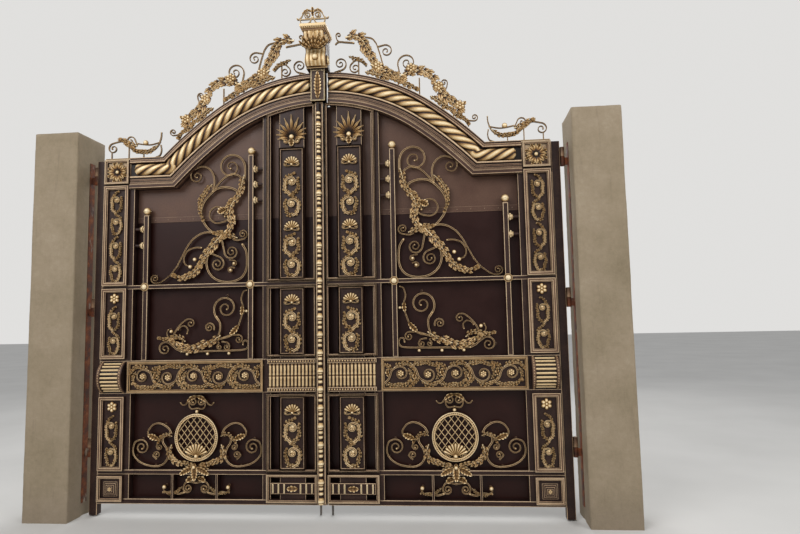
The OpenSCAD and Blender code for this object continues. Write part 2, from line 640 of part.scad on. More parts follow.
module half_medallion() {
  // drawn for the right half, x from the middle of the medallion
  scroll_layer() {
    vine([[250, 20], [262, -30], [228, -88], [222, -150], [262, -198], [330, -210], [420, -188], [478, -140], [492, -90], [480, -40]], [425, -72], 58, 12, 560);
    vine([[196, 26], [214, 62], [256, 92], [300, 103], [344, 88], [374, 50]], [330, 22], 48, 30, -110, 14, 8);
    vine([[290, -28], [308, -60]], [286, -70], 22, 7, -430, 11, 7);
    vine([[306, -160], [334, -134]], [306, -128], 26, 7, 430, 12, 7);
    vine([[0, 300], [30, 302]], [30, 262], 32, 8, -500, 11, 7);
    stem([[64, 270], [88, 240], [112, 236], [128, 252]], 10, 7);
    stem([[0, 212], [40, 206], [60, 226], [62, 258]], 9, 9);
    vine([[0, -330], [36, -322], [76, -324]], [64, -368], 36, 9, -560, 12, 8);
    stem([[92, -398], [140, -408], [190, -392], [232, -396], [250, -372], [240, -352]], 13, 9);
    disc([243, -358], 15);
  }
  leaf_layer() {
    leaf([[188, 8], [224, 22], [262, 8], [288, -22]], 20, 4);
    leaf([[290, -16], [330, 2], [372, 18]], 20, 4);
    leaf([[190, -52], [206, -106], [186, -152], [130, -182], [62, -190]], 32, 8);
    leaf([[0, 296], [36, 290], [70, 262]], 13, 3);
    leaf([[8, -300], [40, -296], [70, -318]], 20, 3);
    leaf([[108, -356], [150, -392], [196, -402], [240, -392]], 15, 5);
  }
}
module medallion(s) {
  color("gold") side(s)
    translate([medal[0], 0, medal[1]]) {
      for (k = [0, 1])
        mirror([k, 0, 0]) {
          half_medallion();
          translate([0, 0, -474])
            studs([[196, 500], [256, 566], [222, 324], [330, 264], [478, 334], [62, 732], [430, 460], [240, 122], [92, 76], [308, 414], [306, 314]]);
        }
      front(scroll_y - leaf_t + 2, scroll_y + 2) difference() {
        polygon(oval(166, 174, 40));
        polygon(oval(143, 150, 40));
      }
      for (k = [-1, 1], i = [-3.5:3.5])
        let (half = sqrt(156 * 156 - i * i * 38 * 38))
          front(scroll_y + (k < 0 ? 0 : 4), scroll_y + (k < 0 ? 5 : 9))
            polygon(turned_to([[-half, i * 38 - 3], [half, i * 38 - 3], [half, i * 38 + 3], [-half, i * 38 + 3]],
              k * 52, [0, 0]));
      shell(0, -104, 62, 7, scroll_y - 13);
      berry(0, 188, 12);
      berry(0, -206, 14, frame_d - 13);
      relief_layer() {
        leaf([[0, -178], [0, -220], [0, -262], [0, -306]], 26, 5);
        for (k = [-1, 1])
          leaf([[k * 6, -212], [k * 60, -232], [k * 108, -262]], 22, 4);
      }
      translate([0, 0, -474]) studs([[0, 660], [0, 144]]);
      for (k = [-1, 1])
        translate([k * 154.5, recess, 0])
          rotate([90, 0, 0]) cylinder(recess - scroll_y + 4, r = 5, $fn = 24);
    }
}
module crest_layer() {
  layer(30, 30 + scroll_t) children();
}
module crest_leaf_layer() {
  layer(30 - leaf_t + 2, 32) children();
}
module arch_crest(s) {
  color("gold") side(s) {
    crest_layer() {
      vine([[112, 3205], [142, 3214]], [158, 3272], 52, 9, 560, 12, 6);
      vine([[360, 3240], [322, 3278], [278, 3292]], [272, 3232], 44, 9, 520, 12, 6);
      stem([[124, 3430], [150, 3446], [200, 3440], [262, 3432]], 11, 13);
      vine([[160, 3442], [136, 3462]], [148, 3500], 22, 6, -330, 10, 6);
      stem([[330, 3475], [400, 3460], [432, 3425], [446, 3392], [470, 3310], [486, 3240], [500, 3190]], 10, 12);
      vine([[446, 3388]], [512, 3352], 50, 8, -500, 10, 6);
      vine([[612, 3170]], [670, 3250], 72, 9, -580, 12, 6);
      stem([[760, 3160], [752, 3190], [738, 3224]], 9, 8);
      vine([[900, 3010], [955, 3030]], [944, 3078], 27, 7, 430, 10, 6);
      stem([[985, 2975], [1012, 2965], [1040, 2930], [1048, 2880]], 9, 9);
      vine([[1060, 2880], [1068, 2830], [1100, 2784]], [1163, 2800], 28, 6, 470, 12, 6);
      stem([[1090, 2800], [1100, 2770], [1118, 2738]], 9, 9);
    }
    crest_leaf_layer() {
      leaf([[200, 3475], [262, 3482], [325, 3452], [366, 3376], [398, 3300], [430, 3240]], 42, 9);
      leaf([[226, 3325], [262, 3306], [300, 3296], [350, 3262]], 17, 4);
      leaf([[395, 3250], [440, 3225], [500, 3195], [560, 3165], [622, 3134]], 38, 8);
      leaf([[620, 3150], [700, 3172], [780, 3182], [850, 3130], [880, 3070]], 40, 8);
      leaf([[860, 3110], [890, 3055], [930, 3000], [985, 2940], [1050, 2880]], 42, 8);
      leaf([[1030, 2900], [1072, 2895], [1104, 2920]], 16, 3);
    }
    front(26, 48) polygon(concat(arch_arc(112, -8), rev(arch_arc(112, -seat))));
    for (q = [[158, 3216], [272, 3184], [480, 3180], [600, 3130], [760, 3120], [930, 2990], [1010, 2900]])
      front(31, 43) translate([q[0] - 5, arch_z(q[0]) + 4]) square([10, q[1] - arch_z(q[0])]);
  }
}
// the arch from x0 to shortly before its shoulder
function arch_arc(x0, d) = concat(
  [for (i = [0:24]) let (s = arch_start(x0, d)) arch_pt(s + (a1 - s) * i / 24, d)],
  [for (i = [1:8]) arch_pt(a1 + (ae - 2 - a1) * i / 8, d)]);
function arch_z(x) = let (t = arch_start(x, 0)) t <= a1 ? arch_pt(t, 0)[1]
  : c2z + sqrt(arch_r2 * arch_r2 - (x - c2x) * (x - c2x));
module side_crest(s) {
  x1 = stile_x - 6;
  color("gold") side(s) {
    crest_layer() {
      stem([[1258, 2800], [1262, 2755], [1284, 2700], [1325, 2662], [1380, 2645], [1440, 2650], [1500, 2690]], 9, 13);
      stem([[1268, 2725], [1300, 2716], [1345, 2708], [1395, 2712], [1450, 2722]], 8, 10);
      stem([[1262, 2700], [1256, 2660], [1268, 2622], [1300, 2608]], 9, 9);
      vine([[1455, 2710]], [1510, 2748], 36, 8, -420, 10, 6);
      vine([[1540, 2720], [1580, 2744], [1620, 2740]], [1648, 2690], 42, 12, -440, 11, 7);
    }
    crest_leaf_layer() {
      leaf([[1284, 2700], [1325, 2665], [1400, 2650], [1470, 2672], [1530, 2712]], 20, 8);
      leaf([[1450, 2700], [1510, 2722], [1575, 2752]], 26, 5);
    }
    berry(1381, 2724, 20, 32);
    front(26, 48) translate([shoulder_x + 6, shoulder_h + seat]) square([x1 - shoulder_x - 6, 8]);
    for (q = [[1400, 40], [1520, 90], [1660, 50]])
      front(31, 43) translate([q[0] - 4, shoulder_h + 4]) square([8, q[1]]);
  }
}
// half outline of one group of beads: a bell with its collar and two small beads
bead_profile = [[9, 0], [15, 4], [15, 10], [12, 13], [rod_r, 20], [rod_r * 0.95, 32], [14, 48], [9, 54],
  [9, 66], [14, 70], [15, 78], [14, 86], [9, 90], [9, 100], [14, 104], [15, 112], [14, 120], [9, 124]];
module astragal() {
  n = floor((neck_z - 40) / bead_pitch);
  color("gold") side(-1) {
    box(-meet_w, meet_w, -18, frame_d, 20, neck_z);
    intersection() {
      translate([0, -16 - rod_r, 22])
        rotate_extrude($fn = 48)
          polygon(concat([[0, 0]],
            [for (i = [0:n - 1], q = bead_profile) [q[0], q[1] + bead_pitch * i]],
            [[9, neck_z - 30], [0, neck_z - 30]]));
      box(-meet_w, meet_w, -100, -16, 20, neck_z);
    }
    box(-9, 9, -32, -17, 20, neck_z);
  }
}
module crown_console() {
  zt = apex_h + console_h;
  color("gold") side(-1) {
    box(-meet_w, meet_w, -20, frame_d - seat, neck_z, apex_h - seat);
    box(-neck_w, neck_w, -neck_d, 0, neck_z, apex_h - seat);
    layer(-neck_d - 8, -neck_d + 1) leaf([[0, neck_z + 30], [0, neck_z + 110], [0, neck_z + 200]], 30, 5);
    box(-console_foot, console_foot, -neck_d - 20, 30, apex_h, apex_h + 30);
    translate([-console_foot, 0, 0])
      rotate([90, 0, 90])
        linear_extrude(2 * console_foot)
          polygon(concat([[30, apex_h + 8], [30, zt - 20]],
            smooth([[-console_d + 22, zt - 20], [-console_d + 24, zt - 70], [-console_d + 60, zt - 130],
              [-110, zt - 165], [-128, zt - 200], [-126, zt - 245], [-100, apex_h + 8]], 6)));
    box(-console_w, console_w, -console_d, 30, zt - 26, zt);
    box(-console_w + 8, console_w - 8, -console_d + 10, 30, zt - 40, zt - 24);
    for (k = [-1, 1]) {
      translate([k * (console_foot + 6), -130, zt - 100])
        rotate([0, 90, 0]) cylinder(14, r = 42, center = true);
      translate([k * (console_foot + 2), -60, apex_h + 60])
        rotate([0, 90, 0]) cylinder(8, r = 40, center = true);
    }
    for (i = [-3:3])
      layer(-console_d + 8, -console_d + 26)
        leaf(turned_to([[0, -4], [0, 52], [0, 108 - 6 * abs(i)]], -i * 17, [i * 8, zt - 158]), 13, 3);
    translate([0, -122, apex_h + 62]) sphere(24, $fn = 32);
  }
}
module crown_crest() {
  zt = apex_h + console_h;
  y0 = -console_d + 8;
  color("gold") side(-1) {
    for (k = [0, 1])
      mirror([k, 0, 0]) {
        layer(y0, y0 + 12) {
          vine([[0, zt + 40], [20, zt + 38]], [36, zt + 66], 26, 8, 480, 9, 7);
          stem([[2, zt + 98], [34, zt + 104], [66, zt + 84], [84, zt + 52], [108, zt + 34], [118, zt + 46]], 9, 8);
          stem([[40, zt + 6.3], [20, zt + 16], [12, zt + 36]], 9, 9);
        }
        layer(y0 - 6, y0 + 2) leaf([[8, zt + 92], [44, zt + 100], [74, zt + 74]], 11, 3);
      }
    layer(y0 - 6, y0 + 8) leaf([[0, zt + 60], [0, zt + 94], [0, zt + 128]], 13, 3);
    front(y0, y0 + 12) translate([-100, zt + 30]) square([200, 8]);
  }
}
module drop_bolt(s) {
  color("dimgray") side(s)
    translate([bolt_x(s), bolt_y, -ground_gap + 2]) cylinder(bolt_h, r = bolt_r);
}

pillar(-1);  // left_pillar
pillar(1);  // right_pillar
hinge_strip(-1);  // left_hinge_strip
hinge_strip(1);  // right_hinge_strip
heel_tube(-1);  // left_heel_tube
heel_tube(1);  // right_heel_tube
leaf_body(-1);  // left_leaf_body
leaf_body(1);  // right_leaf_body
outer_column(-1);  // left_outer_column
outer_column(1);  // right_outer_column
outer_ornament(-1);  // left_outer_ornament
outer_ornament(1);  // right_outer_ornament
drum(-1);  // left_drum
drum(1);  // right_drum
rope(-1);  // left_rope
rope(1);  // right_rope
arch_moulding(-1);  // left_arch_moulding
arch_moulding(1);  // right_arch_moulding
inner_column(-1);  // left_inner_column
inner_column(1);  // right_inner_column
inner_ornament(-1);  // left_inner_ornament
inner_ornament(1);  // right_inner_ornament
grille(-1);  // left_grille
grille(1);  // right_grille
band(-1);  // left_band
band(1);  // right_band
bars(-1);  // left_bars
bars(1);  // right_bars
upper_scroll(-1);  // left_upper_scroll
upper_scroll(1);  // right_upper_scroll
middle_scroll(-1);  // left_middle_scroll
middle_scroll(1);  // right_middle_scroll
medallion(-1);  // left_medallion
medallion(1);  // right_medallion
arch_crest(-1);  // left_arch_crest
arch_crest(1);  // right_arch_crest
side_crest(-1);  // left_side_crest
side_crest(1);  // right_side_crest
drop_bolt(-1);  // left_drop_bolt
drop_bolt(1);  // right_drop_bolt
astragal();
crown_console();
crown_crest();
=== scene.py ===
"""Finish of the wrought iron driveway gate: castings, rope moulding, paint, pillars, light and camera.

Gate coordinates are millimetres: x from the meeting line towards the pillar, y from the front of the
mouldings to the rear, z from the underside of the leaves. Hand.place turns them into the part's metres.
"""
import logging
import math
from dataclasses import dataclass, field
from enum import Enum
from typing import Callable, Iterable, Sequence

import bpy
import numpy as np
from mathutils import Matrix, Vector, noise


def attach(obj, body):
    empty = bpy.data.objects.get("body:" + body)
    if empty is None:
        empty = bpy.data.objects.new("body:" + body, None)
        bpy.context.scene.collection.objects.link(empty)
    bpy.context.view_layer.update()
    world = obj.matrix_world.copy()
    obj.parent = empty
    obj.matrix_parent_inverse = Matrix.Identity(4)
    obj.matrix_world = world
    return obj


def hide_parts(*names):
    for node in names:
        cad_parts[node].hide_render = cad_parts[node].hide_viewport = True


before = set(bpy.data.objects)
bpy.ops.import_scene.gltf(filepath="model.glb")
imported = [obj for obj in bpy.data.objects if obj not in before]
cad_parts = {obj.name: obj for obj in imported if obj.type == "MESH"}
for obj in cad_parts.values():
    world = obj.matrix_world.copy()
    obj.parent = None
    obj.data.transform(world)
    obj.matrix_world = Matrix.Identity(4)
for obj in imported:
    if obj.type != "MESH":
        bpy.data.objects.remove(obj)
LOG = logging.getLogger("gate")
Points = Sequence[Sequence[float]]
Outline = Callable[[float], np.ndarray]

# Gate origin in the part's frame, in millimetres.
ORIGIN = np.array((2004.0, -45.0, 95.0))

# Leaflets longer than this many millimetres get three lobes a side, shorter ones get one.
LOBED_LENGTH = 38
# Distance between two pairs of leaflets on a spray, as a share of its reach.
SPRAY_PITCH = 0.79
# Degrees of a spiral that one ring of a swept bar covers.
SPIRAL_STEP = 15


class Hand(Enum):
    """Side of the meeting line that a piece stands on."""

    LEFT = -1
    RIGHT = 1

    @property
    def word(self) -> str:
        """Returns the side's name as the nodes write it."""
        return "left" if self is Hand.LEFT else "right"

    @property
    def leaf(self) -> str:
        """Returns the body of this side's leaf."""
        return f"{self.word}_leaf"

    def place(self, points: np.ndarray) -> np.ndarray:
        """Turns gate millimetres into the part's metres.

        Args:
            points: rows of x, y, z in gate coordinates.

        Returns:
            The same rows in the part's frame.
        """
        return (np.asarray(points, float) * (self.value, 1.0, 1.0) + ORIGIN) * 0.001


# ---- finishes


def linear(colour: str) -> tuple[float, float, float, float]:
    """Turns a colour written as #RRGGBB into linear light.

    Args:
        colour: the colour as seen, in hexadecimal.

    Returns:
        Red, green, blue and alpha for a shader socket.
    """
    parts = [int(colour[i:i + 2], 16) / 255 for i in (1, 3, 5)]
    r, g, b = (p / 12.92 if p <= 0.04045 else ((p + 0.055) / 1.055) ** 2.4 for p in parts)
    return (r, g, b, 1.0)


class Shader:
    """Node graph of one material, with short ways to add its nodes."""

    def __init__(self, name: str) -> None:
        """Starts an empty material with its output and principled shader.

        Args:
            name: the material's name.
        """
        self.material = bpy.data.materials.new(name)
        self.material.use_nodes = True
        self.tree = self.material.node_tree
        self.tree.nodes.clear()
        self.output = self.tree.nodes.new("ShaderNodeOutputMaterial")
        self.surface = self.tree.nodes.new("ShaderNodeBsdfPrincipled")
        self.link(self.surface.outputs[0], self.output.inputs[0])
        self.place = self.tree.nodes.new("ShaderNodeTexCoord").outputs["Object"]

    def link(self, source: bpy.types.NodeSocket, target: bpy.types.NodeSocket) -> None:
        """Joins two sockets."""
        self.tree.links.new(source, target)

    def stretched(self, scale: Sequence[float]) -> bpy.types.NodeSocket:
        """Returns the object coordinates scaled by three factors."""
        node = self.tree.nodes.new("ShaderNodeMapping")
        node.inputs["Scale"].default_value = scale
        self.link(self.place, node.inputs["Vector"])
        return node.outputs[0]

    def cloud(self, scale: float, detail: float = 5.0, rough: float = 0.55,
              stretch: Sequence[float] = (1, 1, 1)) -> bpy.types.NodeSocket:
        """Adds fractal noise.

        Args:
            scale: blobs per metre.
            detail: number of octaves.
            rough: strength of the finer octaves.
            stretch: factors on the three axes.

        Returns:
            The noise value's socket.
        """
        node = self.tree.nodes.new("ShaderNodeTexNoise")
        node.inputs["Scale"].default_value = scale
        node.inputs["Detail"].default_value = detail
        node.inputs["Roughness"].default_value = rough
        self.link(self.stretched(stretch) if tuple(stretch) != (1, 1, 1) else self.place, node.inputs["Vector"])
        return node.outputs[0]

    def cells(self, scale: float, stretch: Sequence[float] = (1, 1, 1)) -> bpy.types.NodeSocket:
        """Returns the distance to the nearest of many scattered points."""
        node = self.tree.nodes.new("ShaderNodeTexVoronoi")
        node.inputs["Scale"].default_value = scale
        self.link(self.stretched(stretch), node.inputs["Vector"])
        return node.outputs[0]

    def sums(self, kind: str, a: object, b: object) -> bpy.types.NodeSocket:
        """Adds a math node.

        Args:
            kind: the operation, such as MULTIPLY.
            a: a socket or a number.
            b: a socket or a number.

        Returns:
            The result's socket.
        """
        node = self.tree.nodes.new("ShaderNodeMath")
        node.operation = kind
        for socket, value in zip(node.inputs, (a, b)):
            if isinstance(value, (int, float)):
                socket.default_value = value
            else:
                self.link(value, socket)
        return node.outputs[0]

    def add(self, a: object, b: object) -> bpy.types.NodeSocket:
        """Adds two values."""
        return self.sums("ADD", a, b)

    def times(self, a: object, b: object) -> bpy.types.NodeSocket:
        """Multiplies two values."""
        return self.sums("MULTIPLY", a, b)

    def spread(self, value: bpy.types.NodeSocket, low: float, high: float,
               to_low: float = 0.0, to_high: float = 1.0) -> bpy.types.NodeSocket:
        """Returns value mapped smoothly from low..high to to_low..to_high."""
        node = self.tree.nodes.new("ShaderNodeMapRange")
        node.interpolation_type = "SMOOTHSTEP"
        for index, number in zip((1, 2, 3, 4), (low, high, to_low, to_high)):
            node.inputs[index].default_value = number
        self.link(value, node.inputs[0])
        return node.outputs[0]

    def ramp(self, value: bpy.types.NodeSocket, stops: Iterable[tuple[float, str]]) -> bpy.types.NodeSocket:
        """Returns a colour looked up in a list of stops."""
        node = self.tree.nodes.new("ShaderNodeValToRGB")
        stops = list(stops)
        while len(node.color_ramp.elements) < len(stops):
            node.color_ramp.elements.new(1.0)
        for element, (position, colour) in zip(node.color_ramp.elements, stops):
            element.position = position
            element.color = linear(colour)
        self.link(value, node.inputs[0])
        return node.outputs[0]

    def blend(self, amount: bpy.types.NodeSocket, a: object, b: object,
              kind: str = "MIX") -> bpy.types.NodeSocket:
        """Mixes two colours.

        Args:
            amount: socket of the share of b.
            a: the first colour, a socket or #RRGGBB.
            b: the second colour, a socket or #RRGGBB.
            kind: the way the colours are mixed.

        Returns:
            The mixed colour's socket.
        """
        node = self.tree.nodes.new("ShaderNodeMix")
        node.data_type = "RGBA"
        node.blend_type = kind
        self.link(amount, node.inputs[0])
        for socket, value in zip((node.inputs[6], node.inputs[7]), (a, b)):
            if isinstance(value, str):
                socket.default_value = linear(value)
            else:
                self.link(value, socket)
        return node.outputs[2]

    def relief(self) -> bpy.types.NodeSocket:
        """Returns the raised-edge value that castings carry, 0 in the recesses and 1 on the crests; its low end paints
        shade into the recesses, its high end stands for the brushed wear on the crests.
        """
        node = self.tree.nodes.new("ShaderNodeAttribute")
        node.attribute_name = "relief"
        return node.outputs["Fac"]

    def height(self) -> bpy.types.NodeSocket:
        """Returns the height above the ground in metres."""
        node = self.tree.nodes.new("ShaderNodeSeparateXYZ")
        self.link(self.place, node.inputs[0])
        return node.outputs[2]

    def bump(self, value: bpy.types.NodeSocket, strength: float, depth: float) -> None:
        """Roughens the surface by a value.

        Args:
            value: the height's socket.
            strength: share of the effect.
            depth: height of the full value in metres.
        """
        node = self.tree.nodes.new("ShaderNodeBump")
        node.inputs["Strength"].default_value = strength
        node.inputs["Distance"].default_value = depth
        self.link(value, node.inputs["Height"])
        self.link(node.outputs[0], self.surface.inputs["Normal"])

    def done(self, colour: bpy.types.NodeSocket, rough: bpy.types.NodeSocket,
             metallic: float = 0.0, coat: float = 0.0) -> bpy.types.Material:
        """Wires the colour and roughness in and returns the material."""
        self.link(colour, self.surface.inputs["Base Color"])
        self.link(rough, self.surface.inputs["Roughness"])
        self.surface.inputs["Metallic"].default_value = metallic
        self.surface.inputs["Coat Weight"].default_value = coat
        self.surface.inputs["Coat Roughness"].default_value = 0.3
        return self.material


@dataclass(frozen=True)
class Finish:
    """Material that stands for one of the part's slots."""

    name: str
    slot: str

    def mix(self, s: Shader) -> bpy.types.Material:
        """Mixes the finish's material in a fresh shader."""
        raise NotImplementedError

    def material(self) -> bpy.types.Material:
        """Returns the finish's material, made once."""
        return bpy.data.materials.get(self.name) or self.mix(Shader(self.name))


@dataclass(frozen=True)
class BrushedAndShaded(Finish):
    """Paint on iron that is brushed lighter on its raised edges, with painted shade darkening its hollows through the
    relief value.
    """

    stops: tuple[tuple[float, str], ...]
    metallic: float = 0.3
    smoothest: float = 0.34
    roughest: float = 0.6
    grain: float = 260.0
    pits: float = 0.0008
    coat: float = 0.0
    gain: float = 1.0
    lift: float = 0.0
    sheen: float = 0.5

    def mix(self, s: Shader) -> bpy.types.Material:
        """Mixes the finish's material in a fresh shader."""
        patch = s.cloud(9.0, 6.0, 0.6)
        speck = s.cloud(self.grain, 3.0, 0.6)
        broken = s.add(s.times(s.sums("SUBTRACT", patch, 0.5), 0.35),
                        s.times(s.sums("SUBTRACT", speck, 0.5), 0.45))
        # The relief value sets the colour: high on the crests for the real brushed wear, low in the hollows as painted
        # shade.
        value = s.add(s.add(s.times(s.relief(), self.gain), self.lift), broken)
        colour = s.ramp(value, self.stops)
        rough = s.spread(s.add(patch, s.times(speck, 0.3)), 0.35, 0.95,
                         self.smoothest, self.roughest)
        s.bump(speck, 0.55, self.pits)
        s.surface.inputs["Specular IOR Level"].default_value = self.sheen
        return s.done(colour, rough, self.metallic, self.coat)


@dataclass(frozen=True)
class Render(Finish):
    """Rough cement render with stains, trowel marks and sand."""

    name: str = "cement_render"
    slot: str = "render"

    def mix(self, s: Shader) -> bpy.types.Material:
        """Mixes the render's material in a fresh shader."""
        wide = s.cloud(2.6, 7.0, 0.62)
        fine = s.cloud(38.0, 8.0, 0.7)
        sand = s.cells(420.0)
        run = s.cloud(5.0, 6.0, 0.6, (6, 6, 0.7))
        base = s.ramp(s.add(s.times(wide, 0.6), s.times(fine, 0.4)),
                      ((0.3, "#85775F"), (0.44, "#93846C"), (0.55, "#9D8D76"), (0.7, "#AA9B85")))
        stained = s.blend(s.spread(run, 0.55, 0.78, 0.0, 0.3), base, "#6E5F4E")
        low = s.blend(s.spread(s.height(), 0.0, 0.35, 0.35, 0.0), stained, "#74675A")
        s.bump(s.add(s.times(fine, 1.2), s.times(sand, 0.5)), 0.7, 0.004)
        return s.done(low, s.spread(fine, 0.2, 0.8, 0.82, 0.97))


@dataclass(frozen=True)
class Rust(Finish):
    """Bare steel strip with rust and mortar smears."""

    name: str = "rusted_strip"
    slot: str = "rusty_steel"

    def mix(self, s: Shader) -> bpy.types.Material:
        """Mixes the rusted steel's material in a fresh shader."""
        patch = s.cloud(16.0, 7.0, 0.65)
        speck = s.cloud(300.0, 4.0, 0.6)
        base = s.ramp(s.add(s.times(patch, 0.75), s.times(speck, 0.25)),
                      ((0.32, "#32201A"), (0.46, "#5A3424"), (0.56, "#84492A"), (0.7, "#A87550")))
        smear = s.blend(s.spread(s.cloud(11.0, 5.0, 0.6, (1, 1, 0.5)), 0.6, 0.68), base, "#9C907F")
        s.bump(speck, 0.6, 0.001)
        return s.done(smear, s.spread(patch, 0.3, 0.7, 0.62, 0.9), 0.25)


@dataclass(frozen=True)
class BoltSteel(Finish):
    """Bright drawn steel of the drop bolts, dulled by handling."""

    name: str = "drawn_steel"
    slot: str = "bolt_steel"

    def mix(self, s: Shader) -> bpy.types.Material:
        """Mixes the bolt steel's material in a fresh shader."""
        drawn = s.cloud(60.0, 4.0, 0.6, (8, 8, 0.4))
        patch = s.cloud(20.0, 5.0, 0.6)
        colour = s.ramp(s.add(s.times(drawn, 0.5), s.times(patch, 0.5)),
                        ((0.35, "#4B4744"), (0.5, "#77726C"), (0.65, "#9A948C")))
        s.bump(drawn, 0.4, 0.0005)
        return s.done(colour, s.spread(drawn, 0.3, 0.7, 0.35, 0.55), 0.85)


# The PAINT, GOLD and BRONZE ramps run from painted shade in the hollows at low relief to the brushed wear on the crests
# at high relief.
PAINT = BrushedAndShaded("brushed_and_shaded_paint", "brown_paint",
                ((0.0, "#170C0A"), (0.25, "#2C1A15"), (0.45, "#4C352A"), (0.62, "#785D48"), (0.8, "#A98A6C"),
                 (1.0, "#DEC4A0")), 0.1, 0.38, 0.58, 180.0, 0.0005, 0.05, 1.08, -0.06, 0.3)
SHEET = BrushedAndShaded("sheet_paint", "brown_paint",
                ((0.0, "#1C0A07"), (0.35, "#2B120D"), (0.65, "#3A1C15"), (0.85, "#573A2E"), (1.0, "#8C776B")),
                0.05, 0.34, 0.5, 120.0, 0.0004, 0.06, 1.0, 0.0, 0.22)
# The upper sheet's paint is the lower sheet's paint made lighter, a painted reflection of the sky on the upper backing
# sheet.
SKY_SHEEN_SHEET = BrushedAndShaded("sky_sheen_sheet_paint", "brown_paint",
                      ((0.0, "#46302A"), (0.35, "#5E4538"), (0.65, "#735947"), (0.85, "#8A7059"), (1.0, "#A89079")),
                      0.05, 0.34, 0.5, 120.0, 0.0004, 0.06, 1.0, 0.0, 0.25)
GOLD = BrushedAndShaded("brushed_and_shaded_gold", "antique_gold",
               ((0.0, "#1A0E07"), (0.2, "#452B15"), (0.42, "#825E34"), (0.62, "#B8925C"), (0.82, "#E0BF8A"),
                (1.0, "#F8E4BC")), 0.25, 0.36, 0.56, 320.0, 0.0007, 0.0, 1.2, -0.14, 0.5)
BRONZE = BrushedAndShaded("bronze_bar", "antique_gold",
                 ((0.0, "#1C110C"), (0.3, "#3B271B"), (0.55, "#735438"), (0.8, "#B48E60"), (1.0, "#E2C697")),
                 0.25, 0.38, 0.58, 280.0, 0.0006, 0.0, 1.15, -0.1, 0.45)
RENDER = Render()
RUST = Rust()
BOLT = BoltSteel()


# ---- lines


def heading(path: np.ndarray) -> np.ndarray:
    """Returns the unit direction at each point of a line."""
    step = np.empty_like(path)
    step[1:-1] = path[2:] - path[:-2]
    step[0] = path[1] - path[0]
    step[-1] = path[-1] - path[-2]
    return step / np.maximum(np.linalg.norm(step, axis=1), 1e-9)[:, None]


def smooth(points: Points, count: int = 8) -> np.ndarray:
    """Runs a smooth line through points.

    Args:
        points: the points in order.
        count: samples between two points.

    Returns:
        The samples, with both ends.
    """
    p = np.asarray(points, float)
    ends = np.vstack((p[:1], p, p[-1:]))
    t = (np.arange(count) / count)[:, None]
    rows = []
    for a, b, c, d in zip(ends, ends[1:], ends[2:], ends[3:]):
        rows.append(0.5 * (2 * b + (c - a) * t + (2 * a - 5 * b + 4 * c - d) * t ** 2
                           + (3 * b - a - 3 * c + d) * t ** 3))
    return np.vstack(rows + [p[-1:]])


def touch(point: np.ndarray, centre: np.ndarray, radius: float, turn: float) -> float:
    """Finds where a line from a point touches a circle.

    Args:
        point: where the line starts.
        centre: middle of the circle.
        radius: radius of the circle.
        turn: positive where the curl goes on against the clock.

    Returns:
        The touching point's angle in radians.
    """
    away = point - centre
    reach = min(radius / max(np.linalg.norm(away), 1e-9), 1.0)
    return math.atan2(away[1], away[0]) + math.copysign(math.acos(reach), turn)


def curl(tail: Points, centre: Sequence[float], r0: float, r1: float, turn: float) -> np.ndarray:
    """Leads a smooth line into a spiral.

    Args:
        tail: points before the spiral.
        centre: the eye.
        r0: radius where the spiral starts.
        r1: radius where it ends.
        turn: angle that it turns through in degrees.

    Returns:
        The whole line.
    """
    c = np.asarray(centre, float)
    a = touch(np.asarray(tail[-1], float), c, r0, turn)
    n = max(int(abs(turn) / SPIRAL_STEP), 6)
    t = np.linspace(0, 1, n)
    r = r0 + (r1 - r0) * t ** 0.9
    angle = a + math.radians(turn) * t
    spiral = c + np.stack((np.cos(angle), np.sin(angle)), 1) * r[:, None]
    return np.vstack((smooth(list(tail) + [spiral[0]], 5)[:-1], spiral))


@dataclass(frozen=True)
class Arch:
    """Three-centred line of the top of both leaves."""

    apex: float = 3200.0
    shoulder: float = 2600.0
    r1: float = 1450.0
    r2: float = 3180.0
    bend: float = 35.9

    @property
    def flank(self) -> tuple[float, float]:
        """Returns the centre of the flank's arc."""
        b = math.radians(self.bend)
        return ((self.r1 - self.r2) * math.sin(b), self.apex - self.r1 + (self.r1 - self.r2) * math.cos(b))

    @property
    def end(self) -> float:
        """Returns the angle at which the flank meets the shoulder, in degrees."""
        return math.degrees(math.acos((self.shoulder - self.flank[1]) / self.r2))

    @property
    def corner(self) -> float:
        """Returns the x at which the flank meets the shoulder."""
        return self.flank[0] + self.r2 * math.sin(math.radians(self.end))

    def point(self, t: float, d: float) -> tuple[float, float]:
        """Returns the point at angle t in degrees, moved inwards by d."""
        a = math.radians(t)
        if t <= self.bend:
            return ((self.r1 - d) * math.sin(a), self.apex - self.r1 + (self.r1 - d) * math.cos(a))
        cx, cz = self.flank
        return (cx + (self.r2 - d) * math.sin(a), cz + (self.r2 - d) * math.cos(a))

    def line(self, x0: float, x1: float, d: float, count: int = 40) -> np.ndarray:
        """Follows the arch at a distance inside it.

        Args:
            x0: where the line starts.
            x1: where its level shoulder ends.
            d: distance inwards from the outer edge.
            count: samples on the middle arc.

        Returns:
            Rows of x and z.
        """
        start = math.degrees(math.asin(x0 / (self.r1 - d)))
        rows = [self.point(t, d) for t in np.linspace(start, self.bend, count)]
        rows += [self.point(t, d) for t in np.linspace(self.bend, self.end, count // 3 + 1)[1:-1]]
        mitre = self.corner - d * math.tan(math.radians(self.end) / 2)
        rows += [(mitre, self.shoulder - d), (x1, self.shoulder - d)]
        return np.array(rows)


ARCH = Arch()


def rectangle(x0: float, x1: float, z0: float, z1: float) -> Outline:
    """Returns the outline of a rectangle as a function of its inset."""
    return lambda d: np.array(((x0 + d, z0 + d), (x1 - d, z0 + d), (x1 - d, z1 - d), (x0 + d, z1 - d)))


